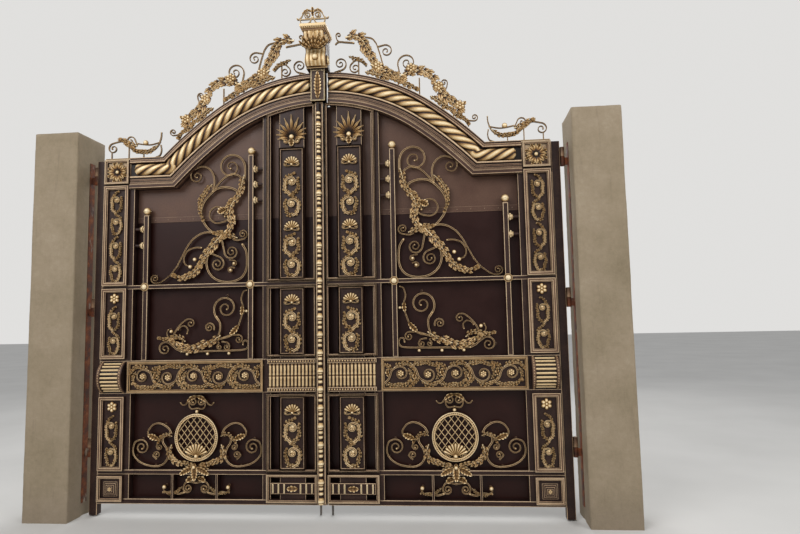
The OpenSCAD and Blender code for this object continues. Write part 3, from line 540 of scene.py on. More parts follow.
def under_arch(x0: float, x1: float, z0: float, depth: float) -> Outline:
    """Returns the outline of a panel whose top follows the arch at a depth."""
    def outline(d: float) -> np.ndarray:
        top = ARCH.line(x0 + d, ARCH.corner + 500, depth + d)
        x = np.linspace(x1 - d, x0 + d, 49)
        rows = np.column_stack((x, np.interp(x, top[:, 0], top[:, 1])))
        return np.vstack(((x1 - d, z0 + d), rows, (x0 + d, z0 + d)))
    return outline


# ---- castings

STRAP = np.array(((-1, 0, 0), (-1, 0.5, 0.2), (-0.88, 0.9, 0.85), (-0.62, 1, 1), (-0.36, 0.86, 0.5), (0, 0.8, 0.3),
                  (0.36, 0.86, 0.5), (0.62, 1, 1), (0.88, 0.9, 0.85), (1, 0.5, 0.2), (1, 0, 0)), float)
BEAD = np.array([(-math.cos(a), math.sin(a), 0.15 + 0.85 * math.sin(a)) for a in np.linspace(0, math.pi, 9)])


@dataclass
class Casting:
    """One piece of the gate, gathered from closed shells and made into a mesh at the end."""

    name: str
    hand: Hand
    finishes: tuple
    points: list = field(default_factory=list)
    faces: list = field(default_factory=list)
    relief: list = field(default_factory=list)
    slots: list = field(default_factory=list)
    count: int = 0

    def loft(self, rows: np.ndarray, relief: np.ndarray, caps: bool = True, loop: bool = False,
             finish: int = 0) -> None:
        """Skins rings of points.

        Args:
            rows: rings of equal length, as an array of ring, point and coordinate.
            relief: raised-edge value of every point, or of the points of one ring.
            caps: closes the first and the last ring.
            loop: joins the last ring to the first instead.
            finish: which of the piece's finishes it takes.
        """
        n, m = rows.shape[:2]
        values = np.broadcast_to(relief if np.ndim(relief) == 2 else np.asarray(relief)[None, :], (n, m))
        index = np.arange(n * m).reshape(n, m)
        nearer = np.roll(index, -1, 1)
        below, over = (index, np.roll(index, -1, 0)) if loop else (index[:-1], index[1:])
        right, far = (nearer, np.roll(nearer, -1, 0)) if loop else (nearer[:-1], nearer[1:])
        quads = np.stack((below, right, far, over), -1).reshape(-1, 4)
        flat = rows.reshape(-1, 3)
        a, b, c, d = (flat[quads[:, k]] for k in range(4))
        volume = np.einsum("ij,ij->", np.cross(a, b), c) + np.einsum("ij,ij->", np.cross(a, c), d)
        faces = quads.tolist()
        if caps and not loop:
            for ring in (index[0][::-1], index[-1]):
                o = flat[ring].mean(0)
                p, q = flat[ring], flat[np.roll(ring, -1)]
                volume += np.einsum("ij,ij->", np.cross(p, q), np.broadcast_to(o, p.shape))
                faces.append(ring.tolist())
        if (volume < 0) != (self.hand is Hand.LEFT):
            faces = [f[::-1] for f in faces]
        self.faces += [[i + self.count for i in f] for f in faces]
        self.slots += [finish] * len(faces)
        self.points.append(flat)
        self.relief.append(np.clip(values, 0, 1).reshape(-1))
        self.count += n * m

    def strap(self, path: np.ndarray, w0: float, w1: float, back: float, face: float,
              section: np.ndarray = STRAP, finish: int = 0) -> None:
        """Sweeps a bar of changing width along a line in the plane of the gate.

        Args:
            path: rows of x and z.
            w0: width at the start.
            w1: width at the end.
            back: depth of the bar's back.
            face: depth of its front.
            section: its section as side, height and relief.
            finish: which of the piece's finishes it takes.
        """
        way = np.concatenate(((0,), np.cumsum(np.linalg.norm(np.diff(path, axis=0), axis=1))))
        half = (w0 + (w1 - w0) * way / way[-1]) / 2
        h = heading(path)
        side = np.stack((-h[:, 1], h[:, 0]), 1)
        rows = np.empty((len(path), len(section), 3))
        rows[:, :, 0::2] = path[:, None] + side[:, None] * (half[:, None] * section[:, 0])[:, :, None]
        rows[:, :, 1] = back + (face - back) * section[:, 1]
        self.loft(rows, section[:, 2], finish=finish)

    def curl(self, tail: Points, centre: Sequence[float], r0: float, r1: float, turn: float,
             w0: float, w1: float, back: float, face: float, finish: int = 0) -> None:
        """Sweeps a bar into a spiral with a boss at its eye."""
        path = curl(tail, centre, r0, r1, turn)
        self.strap(path, w0, w1, back, face, finish=finish)
        self.dome(path[-1], w1 * 0.95, back, face - 2, finish)

    def prism(self, outline: Outline, face: float, back: float, edge: float = 2.5, glow: float = 1.0,
              finish: int = 0) -> None:
        """Makes a flat plate with eased and brushed front edges.

        Args:
            outline: the plate's outline as a function of its inset.
            face: depth of the front.
            back: depth of the back.
            edge: width of the eased edge.
            glow: relief on the edge.
            finish: which of the piece's finishes it takes.
        """
        rings = ((0, back, 0.1), (0, face + edge, 0.3), (edge * 0.35, face + edge * 0.35, glow),
                 (edge, face, glow), (edge * 2.2, face, 0.3))
        rows = np.array([[(x, y, z) for x, z in outline(d)] for d, y, _ in rings])
        self.loft(rows, np.repeat([[r] for *_, r in rings], rows.shape[1], 1), finish=finish)

    def moulding(self, outline: Outline, section: Sequence[tuple[float, float, float]], finish: int = 0) -> None:
        """Runs a section round a closed outline, mitred at its corners.

        Args:
            outline: the outline as a function of its inset.
            section: rows of inset, depth and relief, from the outer back to the inner back.
            finish: which of the piece's finishes it takes.
        """
        rows = np.array([[(x, y, z) for x, z in outline(d)] for d, y, _ in section])
        self.loft(rows, np.repeat([[r] for *_, r in section], rows.shape[1], 1), loop=True, finish=finish)

    def dome(self, middle: Sequence[float], r: float, back: float, face: float, finish: int = 0,
             around: int = 14) -> None:
        """Makes a round boss that bulges to a front depth."""
        rows = []
        steps = [(1.0, back, 0.0), (1.0, back + (face - back) * 0.3, 0.25)]
        steps += [(math.cos(a), back + (face - back) * (0.3 + 0.7 * math.sin(a)), 0.35 + 0.65 * math.sin(a))
                  for a in np.radians((22, 45, 66, 86))]
        turn = np.linspace(0, 2 * math.pi, around, endpoint=False)
        for k, y, _ in steps:
            rows.append(np.stack((middle[0] + r * k * np.cos(turn), np.full(around, y),
                                  middle[1] + r * k * np.sin(turn)), 1))
        self.loft(np.array(rows), np.repeat([[s[2]] for s in steps], around, 1), finish=finish)

    def ball(self, centre: Sequence[float], r: float, finish: int = 0, around: int = 20,
             squash: float = 1.0) -> None:
        """Makes a ball whose relief falls from its front towards its rim, painted shade that deepens towards the rim.
        """
        turn = np.linspace(0, 2 * math.pi, around, endpoint=False)
        lat = np.linspace(-math.pi / 2 + 0.06, math.pi / 2 - 0.06, around // 2 + 1)
        rows = np.array([np.stack((centre[0] + r * math.cos(a) * np.cos(turn),
                                   centre[1] - r * squash * math.sin(a) * np.ones(around),
                                   centre[2] + r * math.cos(a) * np.sin(turn)), 1) for a in lat])
        self.loft(rows, np.repeat([[0.3 + 0.7 * max(math.sin(a), 0.0)] for a in lat], around, 1), finish=finish)

    def turned(self, centre: Sequence[float], axis: str, profile: Sequence[tuple[float, float, float]],
               around: int = 24, finish: int = 0) -> None:
        """Turns a profile about an axis.

        Args:
            centre: foot of the axis.
            axis: x, y or z.
            profile: rows of distance along the axis, radius and relief.
            around: points round it.
            finish: which of the piece's finishes it takes.
        """
        turn = np.linspace(0, 2 * math.pi, around, endpoint=False)
        order = {"x": (0, 1, 2), "y": (1, 0, 2), "z": (2, 0, 1)}[axis]
        rows = np.empty((len(profile), around, 3))
        for row, (along, r, _) in zip(rows, profile):
            row[:, order[0]] = centre[order[0]] + along
            row[:, order[1]] = centre[order[1]] + r * np.cos(turn)
            row[:, order[2]] = centre[order[2]] + r * np.sin(turn)
        self.loft(rows, np.repeat([[p[2]] for p in profile], around, 1), finish=finish)

    def leaf(self, rib: Points, width: float, lobes: int, back: float, face: float, finish: int = 0) -> None:
        """Makes an acanthus leaf whose lobes sweep forward from its rib.

        Args:
            rib: points of the middle rib from root to tip.
            width: half width of the leaf.
            lobes: lobes on each side.
            back: depth of the leaf's back.
            face: depth of its crests.
            finish: which of the piece's finishes it takes.
        """
        n = lobes * 7 + 1
        line = smooth(rib, 16)
        way = np.concatenate(((0,), np.cumsum(np.linalg.norm(np.diff(line, axis=0), axis=1))))
        t = np.linspace(0, 1, n)
        q = np.stack([np.interp(t * way[-1], way, line[:, k]) for k in (0, 1)], 1)
        h = heading(q)
        side = np.stack((-h[:, 1], h[:, 0]), 1)
        wave = np.abs(np.sin(math.pi * lobes * t)) ** 0.7
        env = np.sin(math.pi * np.clip(t, 0.035, 0.975)) ** 0.55 * (1.08 - 0.3 * t)
        w = width * env * (0.52 + 0.48 * wave)
        u = np.array((-1, -0.86, -0.62, -0.38, -0.16, -0.07, 0, 0.07, 0.16, 0.38, 0.62, 0.86, 1))
        rows = np.empty((n, len(u) + 2, 3))
        spread = w[:, None] * u
        forward = 0.5 * w[:, None] * np.abs(u) ** 1.5 * (1 - t[:, None]) ** 0.3
        rows[:, :-2, 0::2] = q[:, None] + side[:, None] * spread[..., None] + h[:, None] * forward[..., None]
        rib_up = np.exp(-(u / 0.1) ** 2)
        crest = np.clip(0.4 + 0.34 * rib_up + 0.42 * np.abs(u) ** 0.6 * (wave[:, None] - 0.35)
                        + 0.16 * u ** 2 - 0.22 * np.exp(-((np.abs(u) - 0.17) / 0.09) ** 2), 0.08, 1)
        crest = np.clip(crest + 0.3 * np.clip((t[:, None] - 0.82) / 0.18, 0, 1), 0, 1)
        rows[:, :-2, 1] = back + (face - back) * crest
        for k, j in ((-2, -3), (-1, 0)):
            rows[:, k, 0::2] = rows[:, j, 0::2]
            rows[:, k, 1] = back
        # Painted shade: the relief falls in the hollows between the lobes and in the grooves beside the rib.
        shade = np.zeros((n, len(u) + 2))
        shade[:, :-2] = np.clip((crest - 0.2) / 0.62, 0, 1) * 0.85 + 0.15 * np.abs(u) ** 4
        self.loft(rows, shade, finish=finish)

    def leaflet(self, base: np.ndarray, angle: float, length: float, width: float, back: float, face: float,
                bend: float = 0.25, finish: int = 0) -> None:
        """Makes one cupped and lobed leaflet with a tip that rises to the front.

        Args:
            base: where it starts.
            angle: its direction in radians.
            length: its length.
            width: its half width.
            back: depth of its back.
            face: depth of its tip.
            bend: how far its tip swings to the left, as a share of its length.
            finish: which of the piece's finishes it takes.
        """
        t = np.linspace(0, 1, 7 if length > LOBED_LENGTH else 5).clip(0.02)
        line = np.stack((length * t, bend * length * t ** 2), 1)
        turn = np.array(((math.cos(angle), math.sin(angle)), (-math.sin(angle), math.cos(angle))))
        q = np.asarray(base, float) + line @ turn
        h = heading(q)
        side = np.stack((-h[:, 1], h[:, 0]), 1)
        w = width * np.sin(math.pi * t ** 0.85).clip(0.12) ** 0.7 * (0.86 + 0.14 * np.cos(6 * math.pi * t))
        u = np.array((-1, -0.45, 0, 0.45, 1))
        profile = 1 - 0.34 * np.exp(-(u / 0.12) ** 2) - 0.5 * np.abs(u) ** 3
        climb = 0.2 + 0.8 * np.sin(math.pi / 2 * t ** 0.9)
        rows = np.empty((len(t), len(u) + 2, 3))
        rows[:, :-2, 0::2] = q[:, None] + side[:, None] * (w[:, None] * u)[..., None]
        rows[:, :-2, 1] = back + (face - back) * climb[:, None] * profile
        for k, j in ((-2, -3), (-1, 0)):
            rows[:, k, 0::2] = rows[:, j, 0::2]
            rows[:, k, 1] = back + (face - back) * np.clip(climb - 0.42, 0.0, 1)
        # Painted shade: the relief stays low at the leaflet's root, under the leaflets that overlap it, and along its
        # middle groove, and rises towards its tip.
        shade = np.zeros((len(t), len(u) + 2))
        groove = 1 - 0.45 * np.exp(-(u / 0.2) ** 2)
        shade[:, :-2] = np.clip((climb[:, None] ** 1.5 * (0.2 + 0.8 * profile) - 0.22) * 1.5 * groove, 0, 1)
        self.loft(rows, shade, finish=finish)

    def spray(self, rib: Points, width: float, back: float, face: float, finish: int = 0, taper: float = 0.35) -> None:
        """Makes an acanthus branch of overlapping leaflets in two layers along a rib.

        Args:
            rib: points of the rib from root to tip.
            width: reach of the leaflets on each side.
            back: depth of the branch's back.
            face: depth of its crests.
            finish: which of the piece's finishes it takes.
            taper: how much narrower the branch is at its ends.
        """
        line = smooth(rib, 6)
        way = np.concatenate(((0,), np.cumsum(np.linalg.norm(np.diff(line, axis=0), axis=1))))
        count = max(int(way[-1] / (width * SPRAY_PITCH)), 3)
        self.strap(line, width * 0.3, width * 0.16, back, face + (back - face) * 0.35, BEAD, finish)
        for i in range(2 * count):
            t = (i * 0.5 + 0.25) / count
            q = np.array([np.interp(t * way[-1], way, line[:, k]) for k in (0, 1)])
            ahead = np.array([np.interp(min(t + 0.02, 1) * way[-1], way, line[:, k]) for k in (0, 1)])
            behind = np.array([np.interp(max(t - 0.02, 0) * way[-1], way, line[:, k]) for k in (0, 1)])
            course = math.atan2(*(ahead - behind)[::-1])
            size = width * (1 - taper * abs(2 * t - 0.9) ** 2) * (0.9 + 0.2 * math.sin(i * 2.4 + len(rib)))
            k = 1 if i % 2 else -1
            self.leaflet(q, course + k * math.radians(58 - 20 * t), size * 1.12, size * 0.42, back,
                         face + 3 + 2 * math.sin(i * 1.7), -0.3 * k, finish)
            self.leaflet(q - k * 0.06 * size, course - k * math.radians(30 - 8 * t), size * 0.78, size * 0.3,
                         back - 5, face - 1 + 1.5 * math.sin(i * 2.9), 0.35 * k, finish)
        course = math.atan2(*(line[-1] - line[-4])[::-1])
        for k in (-1, 0, 1):
            self.leaflet(line[-1] - 4, course + k * 0.62, width * (0.85 if k else 1.0), width * 0.3, back, face - 1,
                         -0.35 * k, finish)

    def flower(self, middle: Sequence[float], r: float, petals: int, back: float, face: float,
               finish: int = 0) -> None:
        """Makes a flower of cupped petals round a boss."""
        around = petals * 8
        turn = np.linspace(0, 2 * math.pi, around, endpoint=False)
        lobe = np.abs(np.cos(petals * turn / 2)) ** 0.6
        rows, shade = [], []
        for k in (0.04, 0.2, 0.34, 0.52, 0.7, 0.86, 0.96, 1.0, 1.0):
            reach = r * k * (0.66 + 0.34 * lobe) if k > 0.3 else np.full(around, r * k)
            up = 0.3 + 0.7 * math.sin(math.pi * min(k, 0.99) ** 1.3) * (0.35 + 0.65 * lobe)
            if k < 0.3:
                up = np.full(around, 0.3)
            y = back + (face - back) * up if len(rows) < 8 else np.full(around, back)
            rows.append(np.stack((middle[0] + reach * np.sin(turn), y, middle[1] + reach * np.cos(turn)), 1))
            shade.append((np.clip(up, 0, 1) ** 1.3 if len(rows) < 8 else np.zeros(around)) * np.ones(around))
        self.loft(np.array(rows), np.array(shade), finish=finish)
        self.dome(middle, r * 0.24, back, face - 1, finish)

    def shell(self, foot: Sequence[float], r: float, ribs: int, back: float, face: float, spread: float = 150,
              finish: int = 0) -> None:
        """Makes a fan of ribs that opens upwards from a foot."""
        n = ribs * 8 + 1
        a = np.radians(np.linspace(-spread / 2, spread / 2, n))
        wave = np.abs(np.sin(np.linspace(0, math.pi * ribs, n))) ** 0.75
        rows, shade = [], []
        for k in (0.1, 0.25, 0.45, 0.65, 0.82, 0.93, 1.0):
            reach = r * k * (1 - (0.12 * (1 - wave) if k > 0.9 else 0))
            up = 0.25 + (0.2 + 0.55 * k ** 0.5) * wave * (1 if k < 0.95 else 0.55)
            x, z = foot[0] + reach * np.sin(a), foot[1] + reach * np.cos(a)
            ring = np.stack((x, back + (face - back) * up, z), 1)
            behind = np.stack((x[[-1, n // 2, 0]], np.full(3, back), z[[-1, n // 2, 0]]), 1)
            behind[1] = (foot[0], back, foot[1] + r * k * 0.5)
            rows.append(np.vstack((ring, behind)))
            shade.append(np.concatenate((up ** 1.2, (0, 0, 0))))
        self.loft(np.array(rows), np.array(shade), finish=finish)
        self.dome(foot, r * 0.17, back, face - 2, finish)

    def beads(self, start: Sequence[float], end: Sequence[float], r: float, back: float, face: float,
              pitch: float, finish: int = 0) -> None:
        """Sets a row of small round beads between two points."""
        a, b = np.asarray(start, float), np.asarray(end, float)
        count = max(int(np.linalg.norm(b - a) / pitch), 1)
        turn = np.linspace(0, 2 * math.pi, 8, endpoint=False)
        for i in range(count):
            m = a + (b - a) * (i + 0.5) / count
            rows = np.array([np.stack((m[0] + r * k * np.cos(turn), np.full(8, back + (face - back) * y),
                                       m[1] + r * k * np.sin(turn)), 1) for k, y in ((1, 0), (0.86, 0.5), (0.4, 0.93))])
            self.loft(rows, np.repeat([[0.1], [0.6], [1.0]], 8, 1), finish=finish)

    def done(self, body: str, nodes: Sequence[str], angle: float = 34.0) -> bpy.types.Object:
        """Makes the mesh, dresses it and hangs it on its body.

        Args:
            body: the body that it rides on.
            nodes: CAD nodes that it stands for.
            angle: edges sharper than this stay sharp, in degrees.

        Returns:
            The finished object.
        """
        mesh = bpy.data.meshes.new(self.name)
        mesh.from_pydata(self.hand.place(np.vstack(self.points)), [], self.faces)
        mesh.attributes.new("relief", "FLOAT", "POINT").data.foreach_set("value", np.concatenate(self.relief))
        for finish in self.finishes:
            mesh.materials.append(finish.material())
        mesh.polygons.foreach_set("material_index", self.slots)
        mesh.update()
        piece = bpy.data.objects.new(self.name, mesh)
        bpy.context.scene.collection.objects.link(piece)
        return hang(piece, body, nodes, angle)


def pick(piece: bpy.types.Object) -> None:
    """Selects one object alone and makes it active."""
    bpy.ops.object.select_all(action="DESELECT")
    piece.select_set(True)
    bpy.context.view_layer.objects.active = piece


def hang(piece: bpy.types.Object, body: str, nodes: Sequence[str], angle: float = 34.0) -> bpy.types.Object:
    """Shades a piece, hangs it on its body and says which nodes it stands for.

    Args:
        piece: the finished object.
        body: the body that it rides on.
        nodes: CAD nodes that it stands for.
        angle: edges sharper than this stay sharp, in degrees.

    Returns:
        The same object.
    """
    pick(piece)
    bpy.ops.object.shade_smooth_by_angle(angle=math.radians(angle))
    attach(piece, body)
    if nodes:
        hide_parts(*nodes)
    piece.data.update()
    LOG.info("%s: %d faces", piece.name, len(piece.data.polygons))
    return piece


# ---- pillars and hinges


@dataclass
class Pillar:
    """Square pillar of rough cement render with the hinge strip let into its inner face."""

    hand: Hand
    inner: float = 1829.0
    width: float = 350.0
    front: float = -130.0
    foot: float = -95.0
    top: float = 2785.0
    strip_y: float = 62.0
    strip_top: float = 2580.0
    hinges: tuple[float, ...] = (400.0, 1450.0, 2480.0)
    axis_x: float = 1793.0
    knuckle: float = 70.0

    def shaft(self) -> bpy.types.Object:
        """Raises the shaft ring by ring and roughens its faces with seeded noise.

        Returns:
            The pillar.
        """
        c = Casting(f"{self.hand.word}_pillar_shaft", self.hand, (RENDER,))
        half, r = self.width / 2, 7.0
        side = np.linspace(-half + r, half - r, 17)
        ring = [(-half, -y) for y in side] + [(x, -half) for x in side] + [(half, y) for y in side]
        ring += [(-x, half) for x in side]
        ring = np.array(ring)
        rows = []
        levels = list(np.linspace(self.foot, self.top - r, 128)) + [self.top, self.top, self.top]
        for i, z in enumerate(levels):
            inset = (0.0, r, half * 0.5, half * 0.9)[max(0, i - 127)]
            p = ring * (1 - inset / half)
            row = np.column_stack((self.inner + half + p[:, 0], self.front + half + p[:, 1], np.full(len(p), z)))
            for q, (nx, ny) in zip(row, ring / half):
                v = Vector(q * 0.001) + Vector((0, 0, 3.0 * self.hand.value))
                lump = 0.5 + 0.5 * noise.fractal(v * 3.0, 0.8, 2.0, 5)
                grit = 0.5 + 0.5 * noise.noise(v * 55.0)
                push = 4.2 * min(max(lump, 0), 1) + 1.8 * grit
                if nx < -0.98 and abs(q[1] - self.strip_y) < 38 and q[2] < self.strip_top + 8:
                    push = 9.5
                q[0] -= push * (nx if abs(nx) > 0.97 else 0.0)
                q[1] -= push * (ny if abs(ny) > 0.97 else 0.0)
                if i > 127:
                    q[2] -= 2.5 * min(max(lump, 0), 1) + 1.5 * grit
            rows.append(row)
        c.loft(np.array(rows), np.full(len(ring), 0.5))
        return c.done("posts", [f"{self.hand.word}_pillar"], 60.0)

    def strip(self) -> bpy.types.Object:
        """Makes the rusted strip with its pins, lower knuckles and weld beads.

        Returns:
            The strip.
        """
        c = Casting(f"{self.hand.word}_rusted_strip", self.hand, (RUST,))
        rows = []
        for z in np.linspace(0, self.strip_top, 90):
            wave = 1.4 * noise.noise(Vector((z * 0.013, self.hand.value * 4.0, 0)))
            rows.append([(self.inner + 0.6 + max(wave, 0), self.strip_y - 30, z),
                         (self.inner + 0.3, self.strip_y - 28, z),
                         (self.inner + 0.3 + abs(wave), self.strip_y, z), (self.inner + 0.3, self.strip_y + 28, z),
                         (self.inner + 0.6, self.strip_y + 30, z), (self.inner + 8, self.strip_y + 30, z),
                         (self.inner + 8, self.strip_y - 30, z)])
        c.loft(np.array(rows), np.full(7, 0.5))
        for z in self.hinges:
            low = z - self.knuckle
            c.turned((self.axis_x, self.strip_y, low), "z",
                     ((0, 13, 0), (0, 15.5, .4), (1.5, 17, .8), (68.5, 17, .8), (70, 15.5, .6), (70, 8.2, .3)), 28)
            c.turned((self.axis_x, self.strip_y, low + 60), "z", ((0, 8, 0), (56, 8, .5), (59, 6, .9), (60, 3, .9)), 20)
            c.prism(rectangle(self.axis_x + 12, self.inner + 0.5, low + 8, z - 8),
                    self.strip_y - 5, self.strip_y + 5, 1)
            for k in (-1, 1):
                c.beads((self.inner - 3, low + 8), (self.inner - 3, z - 8), 3.4, self.strip_y + k * 4,
                        self.strip_y + k * 9, 5.0)
        return c.done("posts", [f"{self.hand.word}_hinge_strip"])

    def build(self) -> None:
        """Builds the shaft and its strip."""
        self.shaft()
        self.strip()


@dataclass
class HeelTube:
    """Square tube at the hinge side with the upper knuckles."""

    hand: Hand
    x0: float = 1709.0
    x1: float = 1771.0
    y0: float = 32.0
    y1: float = 92.0
    foot: float = -85.0
    top: float = 2590.0
    axis_x: float = 1793.0
    axis_y: float = 62.0
    hinges: tuple[float, ...] = (400.0, 1450.0, 2480.0)

    def build(self) -> bpy.types.Object:
        """Builds the tube with rounded corners, its cap and its knuckles.

        Returns:
            The tube.
        """
        c = Casting(f"{self.hand.word}_square_tube", self.hand, (PAINT,))
        corner = [(k, math.radians(a)) for k in range(4) for a in np.linspace(-90 + 90 * k, 90 * k, 5)]
        ring = []
        for k, a in corner:
            cx = (self.x1 - 5, self.x1 - 5, self.x0 + 5, self.x0 + 5)[k]
            cy = (self.y0 + 5, self.y1 - 5, self.y1 - 5, self.y0 + 5)[k]
            ring.append((cx + 5 * math.cos(a), cy + 5 * math.sin(a)))
        ring = np.array(ring)
        edge = np.array([0.3, 0.8, 1.0, 0.8, 0.3] * 4)
        rows, shade = [], []
        middle = ring.mean(0)
        for z, k in [(self.foot + 40, 0.86), (self.foot, 0.86), (self.foot, 0.98), (self.foot + 2, 1.0)] + \
                [(z, 1.0) for z in np.linspace(self.foot + 20, self.top - 12, 60)] + \
                [(self.top - 3, 1.0), (self.top - 1, 0.985), (self.top, 0.94)]:
            p = middle + (ring - middle) * k
            rows.append(np.column_stack((p, np.full(len(p), z))))
            shade.append(edge if k == 1.0 else edge * 0.6 + 0.3)
        c.loft(np.array(rows), np.array(shade))
        for z in self.hinges:
            c.turned((self.axis_x, self.axis_y, z + 0.3), "z",
                     ((30, 8.2, 0), (0, 8.4, .2), (0, 15.5, .5), (1.5, 17, .8), (68, 17, .5), (70, 15, .9),
                      (70, 4, .5)), 28)
            c.prism(rectangle(self.x1 - 1, self.axis_x - 12, z + 8, z + 62), self.axis_y - 5, self.axis_y + 5, 1)
            for k in (-1, 1):
                c.beads((self.x1 + 2.5, z + 8), (self.x1 + 2.5, z + 62), 3.2,
                        self.axis_y + k * 4, self.axis_y + k * 9, 5)
        return c.done(self.hand.leaf, [f"{self.hand.word}_heel_tube"])


# ---- the leaf's frame


@dataclass
class LeafFrame:
    """Backing sheet with its seam, the square tubes and the bolt guides."""

    hand: Hand
    seam: float = 2100.0
    face: float = 24.0
    back: float = 92.0
    sheet: float = 86.0

    @property
    def meet(self) -> float:
        """Returns where the leaf starts beside the meeting line."""
        return -30.0 if self.hand is Hand.LEFT else 38.0

    @property
    def top(self) -> float:
        """Returns where the leaf starts above the neck of the console."""
        return -30.0 if self.hand is Hand.LEFT else 64.0

    def sheets(self, c: Casting) -> None:
        """Hangs the lower and the upper backing sheet with the overlap between them. The upper sheet, the seam strip
        and its beads take the paint that is painted lighter as a painted reflection of the sky.

        Args:
            c: the casting that takes them.
        """
        c.prism(rectangle(self.meet, 1709, 2, self.seam + 4), self.sheet, self.sheet + 3, 0.8, 0.4, 1)
        arc = ARCH.line(self.top if self.top > 0 else 0.5, 1709, 10, 60)
        upper = [(self.meet, self.seam)] + [(1709, self.seam)] + [tuple(p) for p in arc[::-1]]
        upper += [(self.top, 2956), (self.meet, 2956)] if self.top > 0 else [(self.meet, arc[0][1])]
        u = np.array(upper)
        m = u.mean(0)
        c.prism(lambda d: u + (m - u) / np.maximum(np.linalg.norm(m - u, axis=1), 1)[:, None] * d,
                self.sheet, self.sheet + 3, 0.8, 0.4, 2)
        c.prism(rectangle(431, 1485, self.seam, self.seam + 40), self.sheet - 3, self.sheet + 1, 1.2, 0.9, 2)
        c.beads((460, self.seam + 20), (1470, self.seam + 20), 4, self.sheet - 3, self.sheet - 5.5, 92, 2)

    def tubes(self, c: Casting) -> None:
        """Lays the rails, stiles and boards, each a little behind the next so that no two faces coincide.

        Args:
            c: the casting that takes them.
        """
        x0, f, b = self.meet, self.face, self.back
        for x in (783, 1120):
            c.prism(rectangle(x, x + 15, 36, 214), f + 2, b, 1.5)
        for z0, z1, dy in ((0, 38, 0.0), (212, 246, 0.1), (800, 1045, 0.2), (1583, 1613, 0.3)):
            c.prism(rectangle(x0, 1709, z0, z1), f + dy, b - dy, 3.0)
        for a0, a1, top, dy in ((x0, 50, 2962, 0.5), (125, 315, 2950, 0.7), (385, 445, 2898, 0.9),
                                (1460, 1709, 2362, 1.1)):
            c.prism(rectangle(a0, a1, 1, top), f + dy, b - dy, 2.0)

    def band(self, c: Casting) -> None:
        """Bends the broad band that carries the mouldings round the arch.

        Args:
            c: the casting that takes it.
        """
        start = max(self.top, 0.5)
        section = ((0.0, self.back - 1.4, 0.1), (0.0, self.face + 4, 0.4), (1.2, self.face + 1.4, 1.0),
                   (238.5, self.face + 1.4, 0.3), (240.0, self.face + 4, 0.6), (240.0, self.back - 1.4, 0.1))
        lines = [ARCH.line(start, 1709, d, 60) for d, *_ in section]
        rows = np.array([[(p[i][0], y, p[i][1]) for p, (_, y, _) in zip(lines, section)] for i in range(len(lines[0]))])
        if self.hand is Hand.LEFT:
            first = rows[:1].copy()
            first[:, :, 0] = self.top
            rows = np.concatenate((first, rows))
        c.loft(rows, np.array([s[2] for s in section]))

    def guides(self, c: Casting) -> None:
        """Fixes the two guides of the drop bolt behind the meeting stile.

        Args:
            c: the casting that takes them.
        """
        x = 34.0 if self.hand is Hand.LEFT else 54.0
        for z in (15, 260):
            turn = np.linspace(0, 2 * math.pi, 32, endpoint=False)
            square = np.maximum(np.abs(np.cos(turn)), np.abs(np.sin(turn)))
            def ring(r: float | None, level: float) -> np.ndarray:
                reach = 16 / square if r is None else np.full(32, r)
                return np.column_stack((x + reach * np.cos(turn), 108 + np.minimum(reach, 16 / square) * np.sin(turn),
                                        np.full(32, level)))
            rows = [ring(8.3, z + 0.3), ring(None, z), ring(None, z + 30), ring(8.3, z + 29.7)]
            c.loft(np.array(rows), np.full(32, 0.5), loop=True)

    def build(self) -> bpy.types.Object:
        """Builds the leaf's frame.

        Returns:
            The frame.
        """
        c = Casting(f"{self.hand.word}_leaf_frame", self.hand, (PAINT, SHEET, SKY_SHEEN_SHEET))
        self.sheets(c)
        self.tubes(c)
        self.band(c)
        self.guides(c)
        return c.done(self.hand.leaf, [f"{self.hand.word}_leaf_body"])


def framed(c: Casting, outline: Outline, w: float, face: float = 0.0, step: float = 9.0) -> None:
    """Runs a flat frame with a stepped inner border and brushed edges.

    Args:
        c: the casting that takes it.
        outline: its outer outline.
        w: width of the flat part.
        face: depth of its front.
        step: how far the inner border lies behind it.
    """
    c.moulding(outline, ((0, 24.5, 0), (0, face + 3, 0.5), (2.0, face, 1), (5.0, face, 0.86), (7.0, face, 0.56),
                         (w - 7.0, face, 0.56), (w - 5.0, face, 0.86), (w - 1.8, face, 1), (w, face + 3, 0.4),
                         (w + 0.5, face + step + 1.5, 0.1), (w + 2.0, face + step, 0.85), (w + 5.5, face + step, 0.8),
                         (w + 7.5, face + step + 2, 0.4), (w + 8, 24.5, 0)))


# ---- columns


